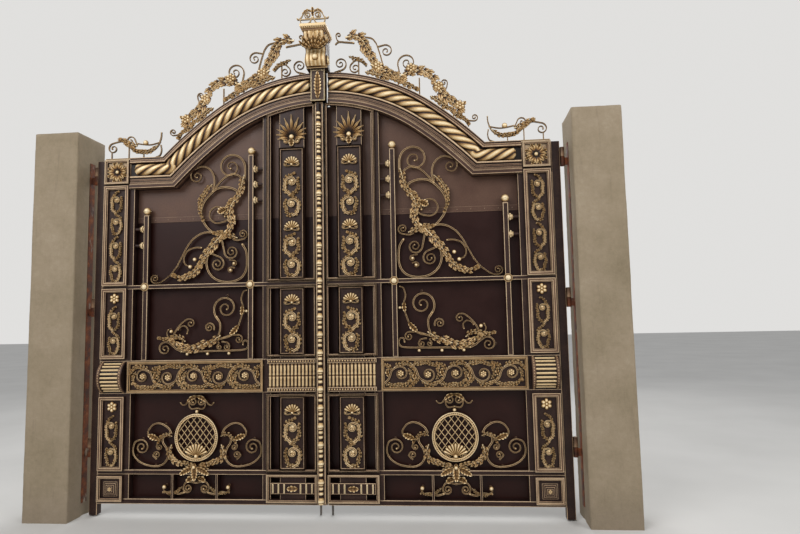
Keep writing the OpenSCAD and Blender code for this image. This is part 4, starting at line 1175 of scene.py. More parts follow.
def climber(c: Casting, x: float, z0: float, h: float, w: float, back: float = 24.0, face: float = 7.0) -> None:
    """Lets a stem climb in two opposite curls with acanthus leaves off its bends.

    Args:
        c: the casting that takes it.
        x: middle line.
        z0: foot.
        h: height.
        w: reach on each side.
        back: depth of its back.
        face: depth of its crests.
    """
    reach = w * 0.4
    for k, a, b in ((1, 0.0, 0.5), (-1, 0.48, 1.0)):
        lo, hi = z0 + h * a, z0 + h * b
        mid = (lo + hi) / 2
        r = min(w * 0.52, h * 0.13)
        c.curl([(x - k * w * 0.1, lo), (x - k * w * 0.7, lo + h * 0.1), (x - k * w * 0.72, mid + h * 0.05)],
               (x - k * w * 0.02, mid + h * 0.03), r, r * 0.3, -k * 430, w * 0.26, w * 0.18, back, face + 1)
        c.flower((x - k * w * 0.02, mid + h * 0.03), r * 0.56, 5, back - 4, face - 1)
        c.spray([(x - k * w * 0.1, lo - 2), (x - k * w * 0.7, lo + h * 0.12), (x - k * w * 0.66, mid + h * 0.09),
                 (x + k * w * 0.05, hi - h * 0.05)], reach, back, face, 0, 0.2)
        c.spray([(x - k * w * 0.4, lo + h * 0.02), (x + k * w * 0.4, lo + h * 0.045), (x + k * w * 0.72, lo + h * 0.2),
                 (x + k * w * 0.7, mid + h * 0.08)], reach * 0.9, back, face + 1, 0, 0.2)


@dataclass
class OuterColumn:
    """Framed column beside the heel tube with its cast relief, rosette and drum."""

    hand: Hand
    x0: float = 1501.0
    x1: float = 1697.0
    middle: float = 1599.0

    def frames(self) -> bpy.types.Object:
        """Builds the five frames of the column.

        Returns:
            The frames.
        """
        c = Casting(f"{self.hand.word}_column_frames", self.hand, (PAINT,))
        framed(c, rectangle(self.x0, self.x1, 20, 205), 16)
        for z0, z1 in ((240, 780), (1060, 1590), (1612, 2385)):
            framed(c, rectangle(self.x0, self.x1, z0, z1), 22)
        framed(c, rectangle(self.x0, self.x1, 2400, 2590), 12, 0, 7)
        return c.done(self.hand.leaf, [f"{self.hand.word}_outer_column"])

    def relief(self) -> bpy.types.Object:
        """Builds the climbing foliage, the two small flowers, the large rosette and the stepped plaque.

        Returns:
            The relief.
        """
        c = Casting(f"{self.hand.word}_column_relief", self.hand, (GOLD, PAINT))
        m = self.middle
        for z0, h in ((268, 385), (1090, 375), (1640, 360), (2005, 350)):
            climber(c, m, z0, h, 50)
        for z in (704, 1514):
            c.flower((m, z), 42, 6, 24, 6)
        for i in range(8):
            a = 2 * math.pi * i / 8
            c.leaflet(np.array((m + 8 * math.cos(a), 2495 + 8 * math.sin(a))), a, 66, 25, 24, 1.5, 0.0)
        c.dome((m, 2495), 15, 24, 2)
        for i in range(8):
            a = 2 * math.pi * (i + 0.5) / 8
            reach = 84 / max(abs(math.cos(a)), abs(math.sin(a)))
            tip = (m + reach * math.cos(a) * 0.95, 2495 + reach * math.sin(a) * 0.95)
            c.leaf([(m + 50 * math.cos(a), 2495 + 50 * math.sin(a)),
                    ((m + tip[0]) / 2 + 32 * math.cos(a), 2495 + (tip[1] - 2495) / 2 + 32 * math.sin(a)), tip],
                   13, 2, 24, 9)
        for i in range(4):
            c.prism(rectangle(m - 54 + 11 * i, m + 54 - 11 * i, 54 + 11 * i, 160 - 11 * i), 20 - 4 * i, 24.4, 2.0, 0.9, 1)
        c.flower((m, 107), 17, 6, 12, 3)
        return c.done(self.hand.leaf, [f"{self.hand.word}_outer_ornament"])

    def drum(self) -> bpy.types.Object:
        """Builds the bulging drum: a dark slab through the bars as painted shade in the gaps, light round bars and
        beaded cheeks.

        Returns:
            The drum.
        """
        c = Casting(f"{self.hand.word}_column_drum", self.hand, (PAINT, BRONZE))
        h, b, zc = 233.0, 70.0, 922.5
        r = (h * h / 4 + b * b) / (2 * b)
        yc = r - b + 24
        reach = math.asin(h / 2 / r)

        def slab(xa: float, xb: float, radius: float, finish: int, glow: float) -> None:
            a = np.linspace(-reach, reach, 29)
            ring = np.column_stack((np.concatenate((yc - radius * np.cos(a), (24.0, 24.0))),
                                    np.concatenate((zc + radius * np.sin(a), (zc + h / 2, zc - h / 2)))))
            rows = np.array([np.column_stack((np.full(len(ring), x), ring[:, 0], ring[:, 1]))
                             for x in (xa, xa, xb, xb)])
            rows[0, :-2, 1] += 3
            rows[3, :-2, 1] += 3
            rows[1, :, 0] += 2
            rows[2, :, 0] -= 2
            c.loft(rows, np.array([[0.2 * glow], [glow], [glow], [0.2 * glow]]) * np.ones(len(ring)), finish=finish)

        # A dark slab through the bars, painted shade that fills the gaps between them.
        slab(self.x0 + 22, self.x1 - 22, r - 13, 0, 0.02)
        for xa in (self.x0, self.x1 - 30):
            slab(xa, xa + 30, r - 3, 0, 0.45)
            slab(xa + 4, xa + 26, r - 0.2, 0, 0.6)
            for i in range(15):
                a = reach * (i - 7) / 7.4
                c.ball((xa + 15, yc - (r - 1) * math.cos(a) + 3.5, zc + (r - 1) * math.sin(a)), 5.6, 1, 8)
        for i in range(-4, 5):
            a = i * reach / 4.5
            y, z = yc - (r - 11) * math.cos(a), zc + (r - 11) * math.sin(a)
            c.turned((self.x0 + 28, y, z), "x", ((0, 5, 0.2), (1, 7.5, 0.95), (138, 7.5, 0.95), (140, 5, 0.2)), 12, 1)
        return c.done(self.hand.leaf, [f"{self.hand.word}_drum"])

    def build(self) -> None:
        """Builds the column."""
        self.frames()
        self.relief()
        self.drum()


@dataclass
class InnerColumn:
    """Framed column beside the meeting line with its relief, shells, palmette and grille."""

    hand: Hand
    x0: float = 38.0
    x1: float = 412.0
    middle: float = 220.0

    def frames(self) -> bpy.types.Object:
        """Builds the outer frames and the frames of the middle board.

        Returns:
            The frames.
        """
        c = Casting(f"{self.hand.word}_inner_frames", self.hand, (PAINT,))
        framed(c, rectangle(self.x0, self.x1, 20, 218), 12, 0, 8)
        for z0, z1 in ((236, 788), (1058, 1580)):
            framed(c, rectangle(self.x0, self.x1, z0, z1), 9, 0, 8)
            framed(c, rectangle(125, 315, z0 + 14, z1 - 14), 7, 1, 8)
        framed(c, under_arch(self.x0, self.x1, 1616, 240.3), 9, 0, 8)
        framed(c, rectangle(125, 315, 1630, 2625), 7, 1, 8)
        return c.done(self.hand.leaf, [f"{self.hand.word}_inner_column"])

    def relief(self) -> bpy.types.Object:
        """Builds the foliage strips, the shells, the ribbed plaque and the palmette.

        Returns:
            The relief.
        """
        c = Casting(f"{self.hand.word}_inner_relief", self.hand, (GOLD, PAINT))
        m = self.middle
        for z0, h in ((268, 362), (1096, 326), (1648, 332), (2104, 338)):
            climber(c, m, z0, h, 68)
        for z in (668, 1470, 2020, 2512):
            c.shell((m, z - 14), 62, 7, 24, 5)
            for k in (-1, 1):
                c.curl([(m + k * 8, z - 22), (m + k * 30, z - 26)], (m + k * 46, z - 12), 14, 5, k * 400, 8, 5, 24, 9)
        c.prism(rectangle(m - 165, m + 165, 80, 158), 12, 24.4, 3, 0.9, 1)
        for x in (-150, -108, -66, 54, 96, 138):
            c.prism(rectangle(m + x, m + x + 12, 86, 152), 5, 13, 3, 1.0, 0)
        c.leaf([(m - 40, 119), (m, 119), (m + 40, 119)], 24, 3, 13, 2)
        for i in range(-5, 6):
            a = math.pi / 2 - math.radians(i * 15.5)
            c.leaflet(np.array((m + 5 * i * 0.6, 2712.0 - 1.4 * abs(i))), a, 172 - 17 * abs(i), 13, 24, 3 + 3 * (i % 2),
                      -0.07 * i)
        for k in (-1, 1):
            c.leaflet(np.array((m + 4.0 * k, 2706.0)), math.radians(90 - 108 * k), 82, 17, 24, 6, 0.3 * k)
        c.dome((m, 2712), 19, 24, 1)
        c.leaf([(m, 2702), (m, 2672), (m, 2638)], 24, 3, 24, 5)
        for k in (-1, 1):
            c.curl([(m + k * 8, 2690), (m + k * 26, 2672)], (m + k * 44, 2680), 17, 6, k * 440, 10, 7, 24, 7)
        return c.done(self.hand.leaf, [f"{self.hand.word}_inner_ornament"])

    def grille(self) -> bpy.types.Object:
        """Builds the beaded rails and the thirteen turned bars between them.

        Returns:
            The grille.
        """
        c = Casting(f"{self.hand.word}_turned_grille", self.hand, (BRONZE, PAINT))
        for z0, z1 in ((805, 835), (1010, 1040)):
            c.prism(rectangle(44, 404, z0, z1), 4, 24.4, 3, 1.0, 1)
            c.beads((48, (z0 + z1) / 2), (400, (z0 + z1) / 2), 8, 5, -1.5, 18.6)
        c.prism(rectangle(44, 404, 834, 1011), 23.2, 24.4, 0.4, 0.0, 1)
        profile = ((0, 6, .3), (4, 9, .9), (8, 6.5, .4), (14, 8.6, .95), (60, 7.4, .9), (78, 9.6, 1), (86, 6.6, .4),
                   (94, 9.6, 1), (112, 7.4, .9), (160, 8.6, .95), (166, 6.5, .4), (171, 9, .9), (176, 6, .3))
        for i in range(13):
            c.turned((58 + i * 27.3, 18, 834), "z", profile, 14)
        return c.done(self.hand.leaf, [f"{self.hand.word}_grille"])

    def build(self) -> None:
        """Builds the column."""
        self.frames()
        self.relief()
        self.grille()


# ---- arch


@dataclass
class ArchWork:
    """Mouldings and rope that follow the arch."""

    hand: Hand
    start: float = 64.0
    rope_r: float = 45.0
    rope_in: float = 93.0
    pitch: float = 95.0
    strands: int = 4

    def moulding(self) -> bpy.types.Object:
        """Sweeps the fascia, beads and flat band round the arch and its shoulder.

        Returns:
            The moulding.
        """
        c = Casting(f"{self.hand.word}_arch_steps", self.hand, (PAINT,))
        section = ((0.3, 25, 0), (0.3, 7, .3), (1.6, 4, 1), (4.5, 4, .42), (9, 4, .38), (10.5, 7, .1), (14, 7, .1),
                   (15.5, 4, .8), (29, 4, .4), (31, 2.6, .9), (37, 2.2, .8), (42, 6, .3), (45, 13, .1), (47, 24, 0),
                   (139, 24, 0), (141, 13, .2), (145, 9, .8), (150, 7.6, 1), (155, 9, .8), (159, 13, .2), (161, 18, .1),
                   (166.5, 18, .05), (168, 14.4, .8), (175, 13.6, .35), (181, 14.4, .8), (182.5, 18, .1),
                   (188.5, 18, .05), (190, 11, .8), (196, 10, .4), (202, 11, .9), (203.5, 18, .1), (206.5, 18, 0),
                   (207.5, 3, .4), (209, 0.4, 1), (214.5, 0.2, .42), (231.5, 0.2, .42), (237.5, 0.4, 1), (239.4, 3, .3),
                   (239.4, 25, 0))
        x0 = 55.0 if self.hand is Hand.LEFT else self.start
        lines = [ARCH.line(x0, 1493, d, 72) for d, *_ in section]
        rows = np.array([[(p[i][0], y, p[i][1]) for p, (_, y, _) in zip(lines, section)] for i in range(len(lines[0]))])
        c.loft(rows, np.array([s[2] for s in section]))
        return c.done(self.hand.leaf, [f"{self.hand.word}_arch_moulding"], 28)

    def rope(self) -> bpy.types.Object:
        """Twists the strands of the rope moulding round the arch's line.

        Returns:
            The rope.
        """
        c = Casting(f"{self.hand.word}_twisted_rope", self.hand, (GOLD,))
        line = ARCH.line(self.start, 1453, self.rope_in, 200)
        corner = len(line) - 2
        line = np.vstack((line[:corner - 1], smooth((line[corner - 1], line[corner], line[corner + 1]), 24)))
        way = np.concatenate(((0,), np.cumsum(np.linalg.norm(np.diff(line, axis=0), axis=1))))
        s = np.arange(0, way[-1], 5.6)
        q = np.stack([np.interp(s, way, line[:, k]) for k in (0, 1)], 1)
        for _ in range(3):
            q[1:-1] = (q[:-2] + 2 * q[1:-1] + q[2:]) / 4
        h = heading(q)
        a = np.linspace(-0.08, math.pi + 0.08, 33)
        phase = self.strands * a[None, :] * self.hand.value + 2 * math.pi * s[:, None] / self.pitch
        wave = np.abs(np.cos(phase / 2)) ** 0.42
        groove = np.abs(np.cos(phase * 2.5))
        r = self.rope_r * (0.72 + 0.28 * wave) - 1.1 * groove * wave
        end = np.clip(np.minimum(s, s[-1] - s) / 14, 0.25, 1)[:, None] ** 0.4
        rows = np.empty((len(s), len(a) + 2, 3))
        rows[:, :-2, 0] = q[:, :1] - h[:, 1:] * r * np.cos(a) * end
        rows[:, :-2, 2] = q[:, 1:] + h[:, :1] * r * np.cos(a) * end
        rows[:, :-2, 1] = 23.5 - r * np.sin(a) * 0.9 * end
        rows[:, -2] = rows[:, -3] * (1, 0, 1) + (0, 25, 0)
        rows[:, -1] = rows[:, 0] * (1, 0, 1) + (0, 25, 0)
        # Painted shade and painted highlight: the relief is dark in the grooves between the strands and brighter on the
        # front of each strand.
        shade = np.zeros(rows.shape[:2])
        shade[:, :-2] = np.clip(wave ** 2.2 * (0.52 + 0.4 * np.sin(np.clip(a, 0, math.pi))) + 0.1 * (1 - groove), 0, 1)
        c.loft(rows, shade)
        return c.done(self.hand.leaf, [f"{self.hand.word}_rope"], 60)

    def build(self) -> None:
        """Builds the mouldings and the rope."""
        self.moulding()
        self.rope()


# ---- scrollwork


@dataclass
class TallBars:
    """Tall square bars with balls on top, collared arms and the bosses on the middle rail."""

    hand: Hand
    side: float = 38.0
    ball: float = 28.0

    def bar(self, c: Casting, x: float, top: float, arms: Sequence[float], to: float) -> None:
        """Stands one bar with its ball, arms and boss.

        Args:
            c: the casting that takes it.
            x: middle of the bar.
            top: height of the bar's end.
            arms: heights of its arms.
            to: x at which the arms end.
        """
        h, y0, k = self.side / 2, 30.0, 1 if to > x else -1
        for z0, z1 in ((1046, 1583), (1613, top)):
            c.prism(rectangle(x - h, x + h, z0, z1), y0, y0 + self.side, 3.2, 1.0)
        yb = y0 + h
        c.turned((x, yb, top - 1), "z",
                 ((0, h - 1, .3), (3, h + 1, .9), (6, h - 2, .5), (9, h - 7, .2), (14, 13, .3)), 24)
        c.ball((x, yb, top + 6 + self.ball), self.ball, 1, 28)
        c.turned((x, yb, top + 6 + self.ball - 2.5), "z", ((0, 28, .2), (1, 29.3, 1), (4, 29.3, 1), (5, 28, .2)), 28, 1)
        for z in arms:
            c.turned((x + k * h, yb, z), "x", ((0, 12, .3), (k * (abs(to - x) - h), 12, .3)), 16)
            for a, r in ((2, 20), (12, 27), (22, 20)):
                c.turned((x + k * (h + a - 5), yb, z), "x",
                         ((0, r * .7, .2), (k * 1.5, r * .93, .7), (k * 5, r, 1), (k * 8.5, r * .93, .7),
                          (k * 10, r * .7, .2)), 18, 1)
            for i in range(6):
                t = math.radians(60 * i + 30)
                c.ball((x + k * (h + 12), yb + 22 * math.sin(t), z + 22 * math.cos(t)), 7.5, 1, 8)
            c.turned((x + k * (h + 27), yb, z), "x", ((0, 17, .3), (k * 3, 19, 1), (k * 6, 14, .3)), 16, 1)
        c.turned((x, 24.2, 1598), "y",
                 ((0, 31, .2), (-4, 31, .9), (-7, 28, .6), (-8, 22, .2), (-13, 19, .9), (-19, 11, 1), (-22, 4, 1)),
                 28, 1)

    def build(self) -> bpy.types.Object:
        """Builds both bars of one leaf.

        Returns:
            The bars.
        """
        c = Casting(f"{self.hand.word}_tall_bars", self.hand, (PAINT, GOLD))
        self.bar(c, 541, 2590, (2480, 2362, 2240), 447)
        self.bar(c, 1366, 2150, (2045, 1918), 1475)
        return c.done(self.hand.leaf, [f"{self.hand.word}_bars"])


@dataclass(frozen=True)
class ScrollPlan:
    """Drawing of one group of forged scrolls: bars, curls, cast leaves and balls."""

    curls: tuple = ()
    stems: tuple = ()
    leaves: tuple = ()
    balls: tuple = ()
    studs: tuple = ()


@dataclass
class Scrollwork:
    """A group of forged scrolls with cast leaves, held off the backing sheet by studs."""

    name: str
    node: str
    plan: ScrollPlan
    back: float = 64.0
    face: float = 49.0
    leaf_back: float = 55.0
    leaf_face: float = 35.0
    wall: float = 86.5
    swell: float = 1.15

    def lay(self, c: Casting, at: tuple[float, float] = (0.0, 0.0), mirror: float = 1.0) -> None:
        """Lays the group into a casting.

        Args:
            c: the casting that takes it.
            at: shift of the drawing.
            mirror: -1 to draw it the other way round.
        """
        def to(p: Points) -> list[tuple[float, float]]:
            return [(at[0] + mirror * x, at[1] + z) for x, z in p]

        for tail, centre, r0, r1, turn, w0, w1 in self.plan.curls:
            c.curl(to(tail), to([centre])[0], r0, r1, turn * mirror, w0, w1, self.back, self.face, 1)
        for points, w0, w1 in self.plan.stems:
            path = smooth(to(points), 8)
            c.strap(path, w0, w1, self.back, self.face, finish=1)
            for end, w in ((path[0], w0), (path[-1], w1)):
                c.dome(end, w * 0.62, self.back, self.face - 1, 1, 12)
        for rib, width, lobes in self.plan.leaves:
            if lobes > 4:
                c.spray(to(rib), width * self.swell, self.leaf_back, self.leaf_face)
            else:
                c.leaf(to(rib), width * 1.2, lobes, self.leaf_back, self.leaf_face)
        for x, z, r in self.plan.balls:
            p = to([(x, z)])[0]
            c.ball((p[0], self.face + 3, p[1]), r, 0, 18)
        for x, z in to(self.plan.studs):
            c.turned((x, self.wall, z), "y",
                     ((0, 9, .3), (-2, 9, .6), (-3, 5.5, .4), (self.back - self.wall - 3, 5.5, .3)), 12, 1)

    def build(self, hand: Hand) -> bpy.types.Object:
        """Builds the group on one leaf.

        Args:
            hand: the leaf's side.

        Returns:
            The scrollwork.
        """
        c = Casting(f"{hand.word}_{self.name}", hand, (GOLD, BRONZE))
        self.lay(c)
        return c.done(hand.leaf, [f"{hand.word}_{self.node}"])


UPPER = ScrollPlan(
    curls=(
        (((775, 1950),), (698, 1851), 55, 11, -600, 13, 7),
        (((900, 1860),), (808, 1761), 56, 11, 600, 13, 7),
        (((716, 1790),), (678, 1762), 22, 6, 450, 9, 6),
        (((672, 1728),), (704, 1712), 22, 6, -450, 9, 6),
        (((690, 1950), (655, 1938)), (610, 1984), 38, 8, -560, 11, 7),
        (((722, 2110), (748, 2088)), (810, 2140), 66, 60, 300, 11, 9),
        (((620, 2380), (596, 2420)), (706, 2508), 112, 12, -620, 16, 8),
        (((852, 2330), (836, 2390), (848, 2460), (888, 2508), (942, 2520)), (975, 2446), 58, 9, -520, 14, 7),
        (((846, 2004), (901, 2006), (952, 1990), (1003, 1955), (1048, 1897), (1092, 1815), (1131, 1744), (1175, 1690),
          (1225, 1650), (1262, 1630)), (1300, 1662), 36, 8, 560, 14, 6),
    ),
    stems=(
        (((613, 1905), (584, 1855), (576, 1790), (580, 1720), (612, 1660), (665, 1630), (735, 1622), (810, 1640),
          (868, 1690), (893, 1765), (880, 1850)), 15, 15),
        (((636, 2290), (665, 2325), (708, 2345), (760, 2352), (817, 2340), (868, 2300), (915, 2245), (938, 2180),
          (930, 2110), (895, 2050), (850, 2005)), 15, 15),
        (((610, 2400), (645, 2438), (700, 2452), (762, 2420), (815, 2365), (850, 2322)), 13, 12),
        (((935, 1890), (990, 1890), (1042, 1868), (1072, 1815), (1060, 1765), (1015, 1745)), 11, 9),
    ),
    leaves=(
        (((598, 2440), (615, 2380), (628, 2320), (650, 2275), (702, 2240)), 34, 8),
        (((640, 2270), (690, 2225), (712, 2160), (700, 2090), (705, 2030), (740, 1990)), 46, 10),
        (((850, 2378), (898, 2330), (935, 2265), (948, 2200), (930, 2120)), 27, 9),
        (((735, 2185), (775, 2170), (800, 2150)), 26, 4),
        (((650, 1955), (700, 1975), (755, 1990), (820, 2000)), 30, 6),
        (((740, 2015), (790, 1965), (840, 1910), (885, 1850), (930, 1785)), 48, 10),
        (((905, 1800), (950, 1740), (1005, 1690), (1070, 1660), (1135, 1680)), 38, 9),
    ),
    balls=((678, 1762, 11), (704, 1712, 11), (1020, 1745, 15), (985, 1800, 15)),
    studs=((613, 1905), (735, 1622), (868, 1690), (708, 2345), (938, 2180), (950, 1740), (1131, 1744), (628, 2320),
           (700, 2452), (848, 2460)),
)

MIDDLE = ScrollPlan(
    curls=(
        (((790, 1330), (808, 1352)), (740, 1425), 96, 12, 620, 15, 8),
        (((830, 1262),), (866, 1282), 38, 8, -540, 12, 7),
        (((780, 1195), (735, 1212), (690, 1222)), (640, 1190), 34, 7, 480, 12, 7),
        (((770, 1175), (728, 1168)), (733, 1136), 26, 7, 430, 11, 7),
        (((800, 1175), (790, 1165)), (787, 1136), 20, 7, -380, 9, 7),
        (((1080, 1106), (1120, 1125), (1150, 1150)), (1212, 1128), 54, 9, -560, 14, 7),
        (((1150, 1215), (1128, 1262), (1088, 1312), (1045, 1345)), (1014, 1316), 33, 8, 420, 12, 7),
    ),
    stems=(
        (((812, 1362), (785, 1318), (783, 1262), (800, 1205), (815, 1180)), 14, 11),
        (((580, 1556), (602, 1548), (614, 1520), (620, 1487), (608, 1440), (608, 1395), (622, 1345), (642, 1290),
          (672, 1240), (720, 1210), (766, 1200), (800, 1190)), 9, 13),
        (((606, 1150), (598, 1178), (574, 1176), (564, 1150), (576, 1122), (612, 1112), (700, 1108), (900, 1106),
          (1080, 1106)), 11, 13),
        (((1040, 1240), (1034, 1270), (1056, 1296), (1088, 1292), (1110, 1268)), 9, 8),
        (((1155, 1215), (1185, 1215), (1198, 1245), (1186, 1272)), 9, 8),
        (((566, 1400), (590, 1400), (612, 1400)), 9, 9),
    ),
    leaves=(
        (((640, 1296), (664, 1262), (702, 1226)), 19, 4),
        (((612, 1444), (608, 1410), (615, 1370)), 15, 3),
        (((776, 1222), (810, 1200), (850, 1172), (900, 1150)), 34, 6),
        (((850, 1186), (920, 1150), (1000, 1130), (1080, 1140), (1140, 1180)), 44, 10),
        (((1050, 1180), (1090, 1212), (1130, 1218), (1180, 1200), (1245, 1210)), 26, 7),
    ),
    balls=((712, 1087, 12), (877, 1086, 12), (1035, 1086, 12), (577, 1400, 11), (1162, 1258, 14)),
    studs=((740, 1521), (812, 1362), (608, 1395), (700, 1108), (900, 1106), (1080, 1106), (1000, 1130), (1266, 1128),
           (850, 1172), (1186, 1272), (1110, 1268)),
)

HALF_MEDAL = ScrollPlan(
    curls=(
        (((250, 20), (262, -30), (228, -88), (222, -150), (262, -198), (330, -210), (420, -188), (478, -140),
          (492, -90), (480, -40)), (425, -72), 58, 12, 560, 15, 8),
        (((196, 26), (214, 62), (256, 92), (300, 103), (344, 88), (374, 50)), (330, 22), 48, 30, -110, 14, 9),
        (((290, -28), (308, -60)), (286, -70), 22, 7, -430, 10, 7),
        (((306, -160), (334, -134)), (306, -128), 26, 7, 430, 10, 7),
        (((0, 300), (30, 302)), (30, 262), 32, 8, -500, 11, 7),
        (((0, -330), (36, -322), (76, -324)), (64, -368), 36, 9, -560, 12, 8),
    ),
    stems=(
        (((64, 270), (88, 240), (112, 236), (128, 252)), 10, 7),
        (((0, 212), (40, 206), (60, 226), (62, 258)), 9, 9),
        (((92, -398), (140, -408), (190, -392), (232, -396), (250, -372), (240, -352)), 13, 9),
    ),
    leaves=(
        (((188, 8), (224, 22), (262, 8), (288, -22)), 20, 5),
        (((290, -16), (330, 2), (372, 18)), 20, 4),
        (((190, -52), (206, -106), (186, -152), (130, -182), (62, -190)), 32, 8),
        (((20, -198), (70, -232), (110, -262)), 22, 4),
        (((0, 296), (36, 290), (70, 262)), 13, 3),
        (((8, -300), (40, -296), (70, -318)), 20, 3),
        (((108, -356), (150, -392), (196, -402), (240, -392)), 15, 5),
    ),
    balls=((243, -358, 15),),
    studs=((196, 26), (256, 92), (222, -150), (330, -210), (478, -140), (62, 258), (430, -14), (240, -352), (92, -398)),
)

ARCH_CREST = ScrollPlan(
    curls=(
        (((112, 3205), (142, 3214)), (158, 3272), 52, 9, 560, 12, 6),
        (((360, 3240), (322, 3278), (278, 3292)), (272, 3232), 44, 9, 520, 12, 6),
        (((160, 3442), (136, 3462)), (148, 3500), 22, 6, -330, 10, 6),
        (((446, 3388),), (512, 3352), 50, 8, -500, 10, 6),
        (((612, 3170),), (670, 3250), 72, 9, -580, 12, 6),
        (((900, 3010), (955, 3030)), (944, 3078), 27, 7, 430, 10, 6),
        (((1060, 2880), (1068, 2830), (1100, 2784)), (1163, 2800), 28, 6, 470, 12, 6),
    ),
    stems=(
        (((124, 3430), (150, 3446), (200, 3440), (262, 3432)), 11, 13),
        (((330, 3475), (400, 3460), (432, 3425), (446, 3392), (470, 3310), (486, 3240), (500, 3190)), 10, 12),
        (((760, 3160), (752, 3190), (738, 3224)), 9, 8),
        (((985, 2975), (1012, 2965), (1040, 2930), (1048, 2880)), 9, 9),
        (((1090, 2800), (1100, 2770), (1118, 2738)), 9, 9),
    ),
    leaves=(
        (((200, 3475), (262, 3482), (325, 3452), (366, 3376), (398, 3300), (430, 3240)), 44, 11),
        (((226, 3325), (262, 3306), (300, 3296), (350, 3262)), 18, 5),
        (((395, 3250), (440, 3225), (500, 3195), (560, 3165), (622, 3134)), 40, 9),
        (((620, 3150), (700, 3172), (780, 3182), (850, 3130), (880, 3070)), 42, 10),
        (((860, 3110), (890, 3055), (930, 3000), (985, 2940), (1050, 2880)), 42, 9),
        (((1030, 2900), (1072, 2895), (1104, 2920)), 17, 3),
    ),
)

SIDE_CREST = ScrollPlan(
    curls=(
        (((1455, 2710),), (1510, 2748), 36, 8, -420, 10, 6),
        (((1540, 2720), (1580, 2744), (1620, 2740)), (1648, 2690), 42, 12, -440, 11, 7),
    ),
    stems=(
        (((1258, 2800), (1262, 2755), (1284, 2700), (1325, 2662), (1380, 2645), (1440, 2650), (1500, 2690)), 9, 13),
        (((1268, 2725), (1300, 2716), (1345, 2708), (1395, 2712), (1450, 2722)), 8, 10),
        (((1262, 2700), (1256, 2660), (1268, 2622), (1300, 2608)), 9, 9),
    ),
    leaves=(
        (((1284, 2700), (1325, 2665), (1400, 2650), (1470, 2672), (1530, 2712)), 20, 9),
        (((1450, 2700), (1510, 2722), (1575, 2752)), 26, 5),
    ),
    balls=((1381, 2724, 20),),
)


@dataclass
class Medallion:
    """Latticed oval between mirrored scrolls in the lowest field."""

    hand: Hand
    centre: tuple[float, float] = (955.0, 474.0)

    def build(self) -> bpy.types.Object:
        """Builds the ring, lattice, shell and the scrolls on both sides.

        Returns:
            The medallion.
        """
        c = Casting(f"{self.hand.word}_oval_medallion", self.hand, (GOLD, BRONZE))
        work = Scrollwork("oval_medallion", "medallion", HALF_MEDAL)
        cx, cz = self.centre
        for mirror in (1, -1):
            work.lay(c, self.centre, mirror)
        turn = np.linspace(0, 2 * math.pi, 72, endpoint=False)

        def ring(d: float) -> np.ndarray:
            return np.column_stack((cx + (166 - d) * np.cos(turn), cz + (174 - d) * np.sin(turn)))

        c.moulding(ring, ((0, 60, 0), (0, 44, .3), (2, 39, .9), (5, 37, 1), (8, 40, .5), (11, 42, .2), (15, 39, .6),
                          (19, 38, 1), (23, 42, .5), (24, 60, 0)), 0)
        for i in range(72):
            a = 2 * math.pi * i / 72
            c.dome((cx + 154.5 * math.cos(a), cz + 162.5 * math.sin(a)), 4.2, 46, 36, 0, 6)
        for k in (-1, 1):
            a = math.radians(52 * k)
            along, across = np.array((math.cos(a), math.sin(a))), np.array((-math.sin(a), math.cos(a)))
            for i in np.arange(-3.5, 4):
                half = math.sqrt(150 ** 2 - (i * 38) ** 2) - 2
                m = np.array((cx, cz)) + across * i * 38
                path = np.array([m + along * t for t in np.linspace(-half, half, 3)])
                c.strap(path, 6.5, 6.5, 57 if k < 0 else 61, 50 if k < 0 else 54, BEAD, 1)
        c.shell((cx, cz - 136), 92, 9, 54, 33)
        for k in (-1, 1):
            c.curl([(cx + k * 6, cz - 150), (cx + k * 30, cz - 152)], (cx + k * 56, cz - 136), 19, 6, k * 430,
                   10, 6, 56, 40)
        c.ball((cx, 53, cz + 188), 13, 0, 18)
        c.ball((cx, 11, cz - 206), 14, 0, 18)
        c.leaf([(cx, cz - 178), (cx, cz - 220), (cx, cz - 262), (cx, cz - 306)], 28, 6, 24, 9)
        for k in (-1, 1):
            c.leaf([(cx + k * 6, cz - 212), (cx + k * 60, cz - 232), (cx + k * 110, cz - 262)], 24, 5, 24, 9)
        for x, z in ((0, 186), (0, -210), (0, -314), (-148, 0), (148, 0)):
            c.turned((cx + x, 86.5, cz + z), "y", ((0, 9, .3), (-2, 9, .6), (-3, 5.5, .4), (-30, 5.5, .3)), 12, 1)
        return c.done(self.hand.leaf, [f"{self.hand.word}_medallion"])


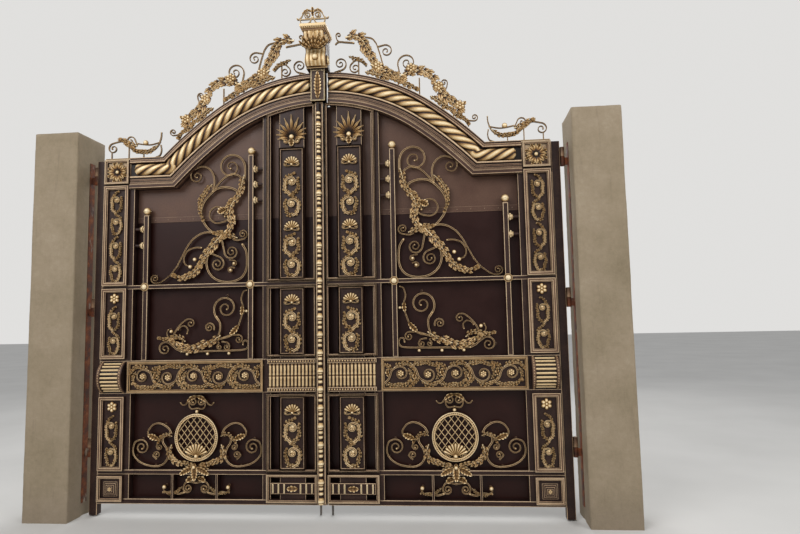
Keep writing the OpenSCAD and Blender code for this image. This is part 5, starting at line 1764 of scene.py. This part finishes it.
@dataclass
class Band:
    """Framed band of foliage across the field."""

    hand: Hand
    x0: float = 438.0
    x1: float = 1480.0
    z0: float = 808.0
    z1: float = 1037.0

    def build(self) -> bpy.types.Object:
        """Builds the frame with its beads and the running foliage.

        Returns:
            The band.
        """
        c = Casting(f"{self.hand.word}_foliage_band", self.hand, (GOLD, BRONZE))
        c.moulding(rectangle(self.x0, self.x1, self.z0, self.z1),
                   ((0, 24.3, 0), (0, 5, .3), (1.5, 2, 1), (5, 2, .5), (10, 2.4, 1), (12, 5, .3), (12.5, 13, .1),
                    (15, 11.5, .8), (19, 11.5, .8), (21, 14, .3), (22, 24.3, 0)), 1)
        zc, n = (self.z0 + self.z1) / 2, 5
        p = (self.x1 - self.x0 - 60) / n
        for i in range(n):
            x, u = self.x0 + 30 + p * i, (1 if i % 2 == 0 else -1)
            c.curl([(x - 8, zc - 62 * u), (x + 24, zc - 30 * u), (x + 46, zc + 26 * u)],
                   (x + 110, zc + 4 * u), 54, 12, -500 * u, 14, 8, 24, 9, 1)
            c.flower((x + 110, zc + 4 * u), 25, 6, 20, 5)
            for rib, width, face in ((((-6, -66), (60, -80), (128, -74), (176, -52)), 26, 6),
                                     (((60, 46), (110, 76), (164, 70), (204, 40)), 26, 5),
                                     (((44, 20), (22, 52), (-8, 74)), 24, 6),
                                     (((164, 40), (184, 4), (180, -28)), 20, 7)):
                c.spray([(x + dx, zc + dz * u) for dx, dz in rib], width, 24, face, 0, 0.2)
            c.leaf([(x + 26, zc - 20 * u), (x + 12, zc + 10 * u), (x + 14, zc + 40 * u)], 15, 3, 24, 8)
        return c.done(self.hand.leaf, [f"{self.hand.word}_band"])


@dataclass
class Crest:
    """Scrolls and leaves that stand on the arch and on the level shoulder."""

    hand: Hand

    def arch(self) -> bpy.types.Object:
        """Builds the scrolls on the arch with the bar and posts that carry them.

        Returns:
            The crest on the arch.
        """
        c = Casting(f"{self.hand.word}_arch_scrolls", self.hand, (GOLD, BRONZE))
        Scrollwork("", "", ARCH_CREST, 44, 29, 34, 15, 86.5, 1.5).lay(c)
        top = ARCH.line(112, 1493, -8, 60)
        low = ARCH.line(112, 1493, -0.2, 60)
        keep = top[:, 0] < ARCH.corner - 100
        # The bar's relief is higher on its upper edge than on its lower one, a painted highlight on its top and painted
        # shade under it.
        rows = np.array([[(b[0], 48, b[1]), (b[0], 27.5, b[1]), (b[0], 26, b[1] + 1.5), (a[0], 26, a[1] - 1.5),
                          (a[0], 27.5, a[1]), (a[0], 48, a[1])] for a, b in zip(top[keep], low[keep])])
        c.loft(rows, np.array((0.1, 0.3, 0.5, 1.0, 1.0, 0.3)), finish=1)
        full = ARCH.line(60, 1493, 0, 200)
        for x0, x1, width in ((350, 600, 44), (560, 730, 40), (840, 1000, 38), (960, 1110, 34)):
            near = ARCH.line(60, 1493, -38, 60)
            xs = np.linspace(x0, x1, 6)
            c.spray(list(zip(xs, np.interp(xs, near[:, 0], near[:, 1]))), width, 36, 16)
        for q in ((455, 3232), (700, 3205), (905, 3052), (1060, 2896)):
            c.flower(q, 40, 6, 36, 10)
        for x, z in ((158, 3218), (272, 3186), (480, 3184), (600, 3134), (760, 3126), (930, 2996), (1010, 2906),
                     (300, 3280)):
            foot = float(np.interp(x, full[:, 0], full[:, 1]))
            if z > foot + 6:
                c.prism(rectangle(x - 5, x + 5, foot + 4, z), 31, 43, 1.5, 0.9, 1)
        return c.done(self.hand.leaf, [f"{self.hand.word}_arch_crest"])

    def side(self) -> bpy.types.Object:
        """Builds the scrolls on the shoulder.

        Returns:
            The crest on the shoulder.
        """
        c = Casting(f"{self.hand.word}_shoulder_scrolls", self.hand, (GOLD, BRONZE))
        Scrollwork("", "", SIDE_CREST, 44, 29, 34, 15, 86.5, 1.5).lay(c)
        c.prism(rectangle(ARCH.corner + 6, 1703, 2600.2, 2608), 26, 48, 1.5, 1.0, 1)
        for x, h in ((1400, 40), (1520, 96), (1660, 56), (1290, 8)):
            c.prism(rectangle(x - 4, x + 4, 2604, 2604 + h), 31, 43, 1.5, 0.9, 1)
        return c.done(self.hand.leaf, [f"{self.hand.word}_side_crest"])

    def build(self) -> None:
        """Builds both crests."""
        self.arch()
        self.side()


# ---- crown and meeting stile


@dataclass
class Crown:
    """Beaded rod, console and crest over the meeting line, carried by the left leaf."""

    neck: float = 2956.0
    foot: float = 3200.0
    top: float = 3483.0
    reach: float = 208.0
    half: float = 77.0
    body: str = "left_leaf"

    def rod(self) -> bpy.types.Object:
        """Turns the beaded rod in front of its backing strip.

        Returns:
            The rod.
        """
        c = Casting("beaded_rod", Hand.LEFT, (GOLD, PAINT))
        c.prism(rectangle(-30, 30, 20, self.neck), -18, 24, 3, 1.0, 1)
        c.prism(rectangle(-24, 24, 26, self.neck - 6), -20.5, -17, 2, 0.9, 1)
        unit = ((0, 9, .1), (1, 13, .5), (4, 15.5, .9), (9, 15.5, .9), (13, 12, .3), (14, 16, .4), (18, 20.5, .9),
                (24, 21, 1),
                (31, 20, .85), (38, 17, .7), (45, 14.6, .75), (49, 12, .4), (52, 8.5, .1), (63, 8.5, .1), (66, 11, .3),
                (70, 14, .8), (78, 15.4, 1), (86, 14, .8), (90, 11, .3), (92, 8.5, .1), (98, 8.5, .1), (100, 11, .3),
                (104, 14, .8), (112, 15.4, 1), (120, 14, .8), (124, 11, .3), (126, 9, .1))
        count = int((self.neck - 40) // 130)
        profile = [(q[0] + 130 * i, q[1], q[2]) for i in range(count) for q in unit]
        profile += [(130 * count + 4, 9, .1), (self.neck - 30, 9, .1)]
        c.turned((0, -37, 22), "z", profile, 20)
        return c.done(self.body, ["astragal"])

    def side_line(self) -> np.ndarray:
        """Returns the console's front line in depth and height, from the top down."""
        t, a = self.top, self.foot
        return smooth([(-186, t - 26), (-184, t - 60), (-164, t - 105), (-132, t - 138), (-112, t - 165),
                       (-124, t - 192), (-128, t - 220), (-124, t - 250), (-100, a + 8)], 6)

    def console(self) -> bpy.types.Object:
        """Builds the console: its neck, S-shaped body, side volutes, top mouldings, leaves and ball.

        Returns:
            The console.
        """
        c = Casting("crown_bracket", Hand.LEFT, (GOLD, PAINT, BRONZE))
        c.prism(rectangle(-30, 30, self.neck, self.foot + 1), -20, 23.8, 3, 0.9, 1)
        c.prism(rectangle(-55, 55, self.neck + 1, self.foot), -50, 0, 4, 1.0, 2)
        framed(c, rectangle(-55, 55, self.neck + 1, self.foot), 10, -52, 5)
        c.leaf([(0, self.neck + 16), (0, self.neck + 100), (0, self.neck + 190), (0, self.neck + 226)], 30, 8, -46, -60)
        front = self.side_line()
        back = 30.0
        w = np.linspace(-1, 1, 15)
        rows, shade = [], []
        for y, z in front:
            ribs = np.abs(np.sin(np.linspace(0, math.pi * 5, 15))) ** 0.7
            ring = [(self.half * u, y + 7 * (1 - r) + 5 * u * u, z) for u, r in zip(w, ribs)]
            rows.append(ring + [(self.half, back, z), (-self.half, back, z)])
            shade.append(list(0.25 + 0.7 * ribs) + [0.2, 0.2])
        c.loft(np.array(rows), np.array(shade))
        t = self.top
        for half, y0, z0, z1, glow in ((96, -208, t - 22, t, 1.0), (90, -200, t - 34, t - 20, 0.8),
                                       (83, -192, t - 46, t - 32, 0.6)):
            outline = np.array(((-half, y0), (half, y0), (half, 30), (-half, 30)))
            m = outline.mean(0)
            rows = [np.column_stack((m + (outline - m) * k, np.full(4, z)))
                    for z, k in ((z0, 0.9), (z0, 0.985), (z0 + 2, 1), (z1 - 2, 1), (z1, 0.985), (z1, 0.9))]
            c.loft(np.array(rows), np.array([[.3], [.9], [glow], [glow], [.9], [.4]]) * np.ones(4), finish=2)
        for i in range(13):
            c.ball((-84 + 14 * i, -206 + 1.5, t - 27), 5, 0, 8)
        c.prism(rectangle(-80, 80, self.foot, self.foot + 26), -74, 30, 4, 1.0, 2)
        for k in (-1, 1):
            for x, y, z, r, turn in ((k * 86, -130, t - 98, 42, 1), (k * 82, -62, self.foot + 62, 38, -1)):
                a = np.linspace(0, 2.2 * 2 * math.pi, 70)
                rad = r * (1 - a / a[-1] * 0.86)
                path = np.column_stack((y + rad * np.cos(a), z + turn * rad * np.sin(a)))
                h = heading(path)
                side = np.stack((-h[:, 1], h[:, 0]), 1)
                half = (9 - 5 * a / a[-1]) / 2
                ring = np.empty((len(path), 9, 3))
                ring[:, :, 1:] = path[:, None] + side[:, None] * (half[:, None] * BEAD[:, 0])[:, :, None]
                ring[:, :, 0] = x - k * 9 + k * 15 * BEAD[:, 1]
                c.loft(ring, BEAD[:, 2])
                c.turned((x - k * 9, y, z), "x", ((0, r * .96, .2), (k * 8, r * .96, .3), (k * 9, r * .9, .3)), 32)
                c.turned((x, y, z), "x", ((0, 9, .6), (k * 5, 8, .9), (k * 7, 4, 1)), 14)
        for i in range(-3, 4):
            a = math.radians(i * 19)
            base = np.array((i * 7.0, t - 176.0))
            tip = base + np.array((math.sin(a), math.cos(a))) * (134 - 9 * abs(i))
            c.leaf([tuple(base), tuple((base + tip) / 2 + (i * 1.5, 0)), tuple(tip)], 15, 4, -150, -196 + 3 * abs(i))
        c.ball((0, -124, self.foot + 62), 25, 0, 24)
        c.turned((0, -100, self.foot + 62), "y", ((0, 34, .2), (-8, 34, .9), (-12, 28, .3)), 28)
        return c.done(self.body, ["crown_console"])

    def crest(self) -> bpy.types.Object:
        """Builds the small open scrolls that stand on the console.

        Returns:
            The crest.
        """
        c = Casting("crown_scrolls", Hand.LEFT, (GOLD, BRONZE))
        t, b, f = self.top, -187.0, -199.0
        for k in (1, -1):
            c.curl([(0, t + 40), (k * 20, t + 38)], (k * 36, t + 66), 26, 8, k * 480, 9, 7, b, f)
            for points, w0, w1 in ((((2, 98), (34, 104), (66, 84), (84, 52), (108, 34), (118, 46)), 9, 7),
                                   (((40, -1), (20, 12), (12, 36)), 9, 9), (((84, 52), (92, 26), (84, 2)), 8, 8)):
                c.strap(smooth([(k * x, t + z) for x, z in points], 8), w0, w1, b, f)
            c.dome((k * 114, t + 44), 6, b, f - 1)
            c.leaf([(k * 8, t + 92), (k * 44, t + 102), (k * 76, t + 76)], 11, 4, b - 4, f - 5)
        c.prism(rectangle(-100, 100, t + 30, t + 38), f, b, 1.5, 1.0)
        c.leaf([(0, t + 56), (0, t + 94), (0, t + 127)], 15, 3, b, f - 6)
        c.ball((0, -194, t + 46), 11, 0, 14)
        return c.done(self.body, ["crown_crest"])

    def build(self) -> None:
        """Builds the rod, the console and its crest."""
        self.rod()
        self.console()
        self.crest()


@dataclass
class DropBolt:
    """Round bolt behind the meeting stile that drops into the ground."""

    hand: Hand
    radius: float = 8.0
    length: float = 420.0

    def build(self) -> bpy.types.Object:
        """Turns the bolt with its eased ends and drawn grooves.

        Returns:
            The bolt.
        """
        c = Casting(f"{self.hand.word}_round_bolt", self.hand, (BOLT,))
        x = 34.0 if self.hand is Hand.LEFT else 54.0
        r, n = self.radius, self.length
        c.turned((x, 108, -93), "z", ((0, r - 2.5, .5), (2, r, .5), (n - 2, r, .5), (n, r - 2, .8)), 32)
        return c.done(f"{self.hand.word}_bolt", [f"{self.hand.word}_drop_bolt"])


# ---- stage


@dataclass
class Stage:
    """Pale floor, soft lamps and the camera at the photograph's place."""

    place: tuple[float, float, float] = (2.956, -4.224, 1.414)
    focal: float = 578.0 / 800.0 * 36.0
    roll: float = -0.020092052783148132
    pitch: float = -0.08934864904258617
    yaw: float = -0.08676103528551218

    def floor(self) -> None:
        """Lays the floor."""
        bpy.ops.object.select_all(action="DESELECT")
        bpy.ops.mesh.primitive_plane_add(size=80.0, location=(2.0, 0.0, 0.0))
        floor = bpy.context.active_object
        floor.name = "studio_floor"
        s = Shader("pale_floor")
        tint = s.ramp(s.cloud(0.7, 3.0), ((0.3, "#C9C7C3"), (0.7, "#D2D0CC")))
        floor.data.materials.append(s.done(tint, s.spread(s.cloud(3.0), 0.3, 0.7, 0.85, 0.95)))

    def lamps(self) -> None:
        """Hangs three wide lamps and an even sky."""
        for name, spot, aim, size, power in (
                ("wide_front", (-1.5, -6.0, 6.2), (2.0, 0.0, 1.6), 5.0, 330.0),
                ("wide_side", (7.5, -4.0, 4.2), (2.0, 0.0, 1.6), 4.0, 150.0),
                ("wide_back", (2.0, 5.5, 5.5), (2.0, 0.0, 1.5), 5.0, 220.0)):
            lamp = bpy.data.lights.new(name, "AREA")
            lamp.size = size
            lamp.energy = power
            stand = bpy.data.objects.new(name, lamp)
            stand.location = spot
            stand.rotation_euler = (Vector(aim) - Vector(spot)).to_track_quat("-Z", "Y").to_euler()
            bpy.context.scene.collection.objects.link(stand)
        world = bpy.data.worlds.new("studio_sky")
        bpy.context.scene.world = world
        world.use_nodes = True
        nodes, links = world.node_tree.nodes, world.node_tree.links
        back = nodes["Background"]
        back.inputs["Strength"].default_value = 0.62
        place = nodes.new("ShaderNodeTexCoord")
        split = nodes.new("ShaderNodeSeparateXYZ")
        ramp = nodes.new("ShaderNodeValToRGB")
        ramp.color_ramp.elements[0].position, ramp.color_ramp.elements[0].color = 0.42, linear("#8F8A84")
        ramp.color_ramp.elements[1].position, ramp.color_ramp.elements[1].color = 0.72, linear("#F3F5F8")
        half = nodes.new("ShaderNodeMapRange")
        half.inputs[1].default_value = -1.0
        links.new(place.outputs["Generated"], split.inputs[0])
        links.new(split.outputs[2], half.inputs[0])
        links.new(half.outputs[0], ramp.inputs[0])
        links.new(ramp.outputs[0], back.inputs["Color"])
        clear = nodes.new("ShaderNodeBackground")
        clear.inputs["Color"].default_value = linear("#E9E8E6")
        clear.inputs["Strength"].default_value = 0.92
        path, mix = nodes.new("ShaderNodeLightPath"), nodes.new("ShaderNodeMixShader")
        links.new(path.outputs["Is Camera Ray"], mix.inputs[0])
        links.new(back.outputs[0], mix.inputs[1])
        links.new(clear.outputs[0], mix.inputs[2])
        links.new(mix.outputs[0], nodes["World Output"].inputs["Surface"])

    def camera(self) -> None:
        """Stands the camera where the photograph was taken, with the same turn and tilt."""
        cr, sr = math.cos(self.roll), math.sin(self.roll)
        cp, sp = math.cos(self.pitch), math.sin(self.pitch)
        cy, sy = math.cos(self.yaw), math.sin(self.yaw)
        turn = Matrix(((cr, -sr, 0), (sr, cr, 0), (0, 0, 1))) @ Matrix(((1, 0, 0), (0, cp, -sp), (0, sp, cp))) \
            @ Matrix(((1, 0, 0), (0, 0, -1), (0, 1, 0))) @ Matrix(((cy, -sy, 0), (sy, cy, 0), (0, 0, 1)))
        axes = Matrix((turn[0], -turn[1], -turn[2])).transposed()
        lens = bpy.data.cameras.new("front_camera")
        lens.sensor_width = 36.0
        lens.lens = self.focal
        camera = bpy.data.objects.new("front_camera", lens)
        camera.matrix_world = Matrix.Translation(self.place) @ axes.to_4x4()
        bpy.context.scene.collection.objects.link(camera)
        bpy.context.scene.camera = camera

    def build(self) -> None:
        """Sets the stage."""
        self.floor()
        self.lamps()
        self.camera()
        bpy.context.scene.view_settings.view_transform = "Standard"


def main() -> None:
    """Builds the gate's pieces in order."""
    logging.basicConfig(level=logging.INFO, format="%(name)s: %(message)s")
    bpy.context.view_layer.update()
    Stage().build()
    for hand in Hand:
        Pillar(hand).build()
        HeelTube(hand).build()
        LeafFrame(hand).build()
        OuterColumn(hand).build()
        InnerColumn(hand).build()
        ArchWork(hand).build()
        TallBars(hand).build()
        Band(hand).build()
        Scrollwork("upper_scrollwork", "upper_scroll", UPPER).build(hand)
        Scrollwork("middle_scrollwork", "middle_scroll", MIDDLE).build(hand)
        Medallion(hand).build()
        Crest(hand).build()
        DropBolt(hand).build()
    Crown().build()


if __name__ == "__main__":
    main()
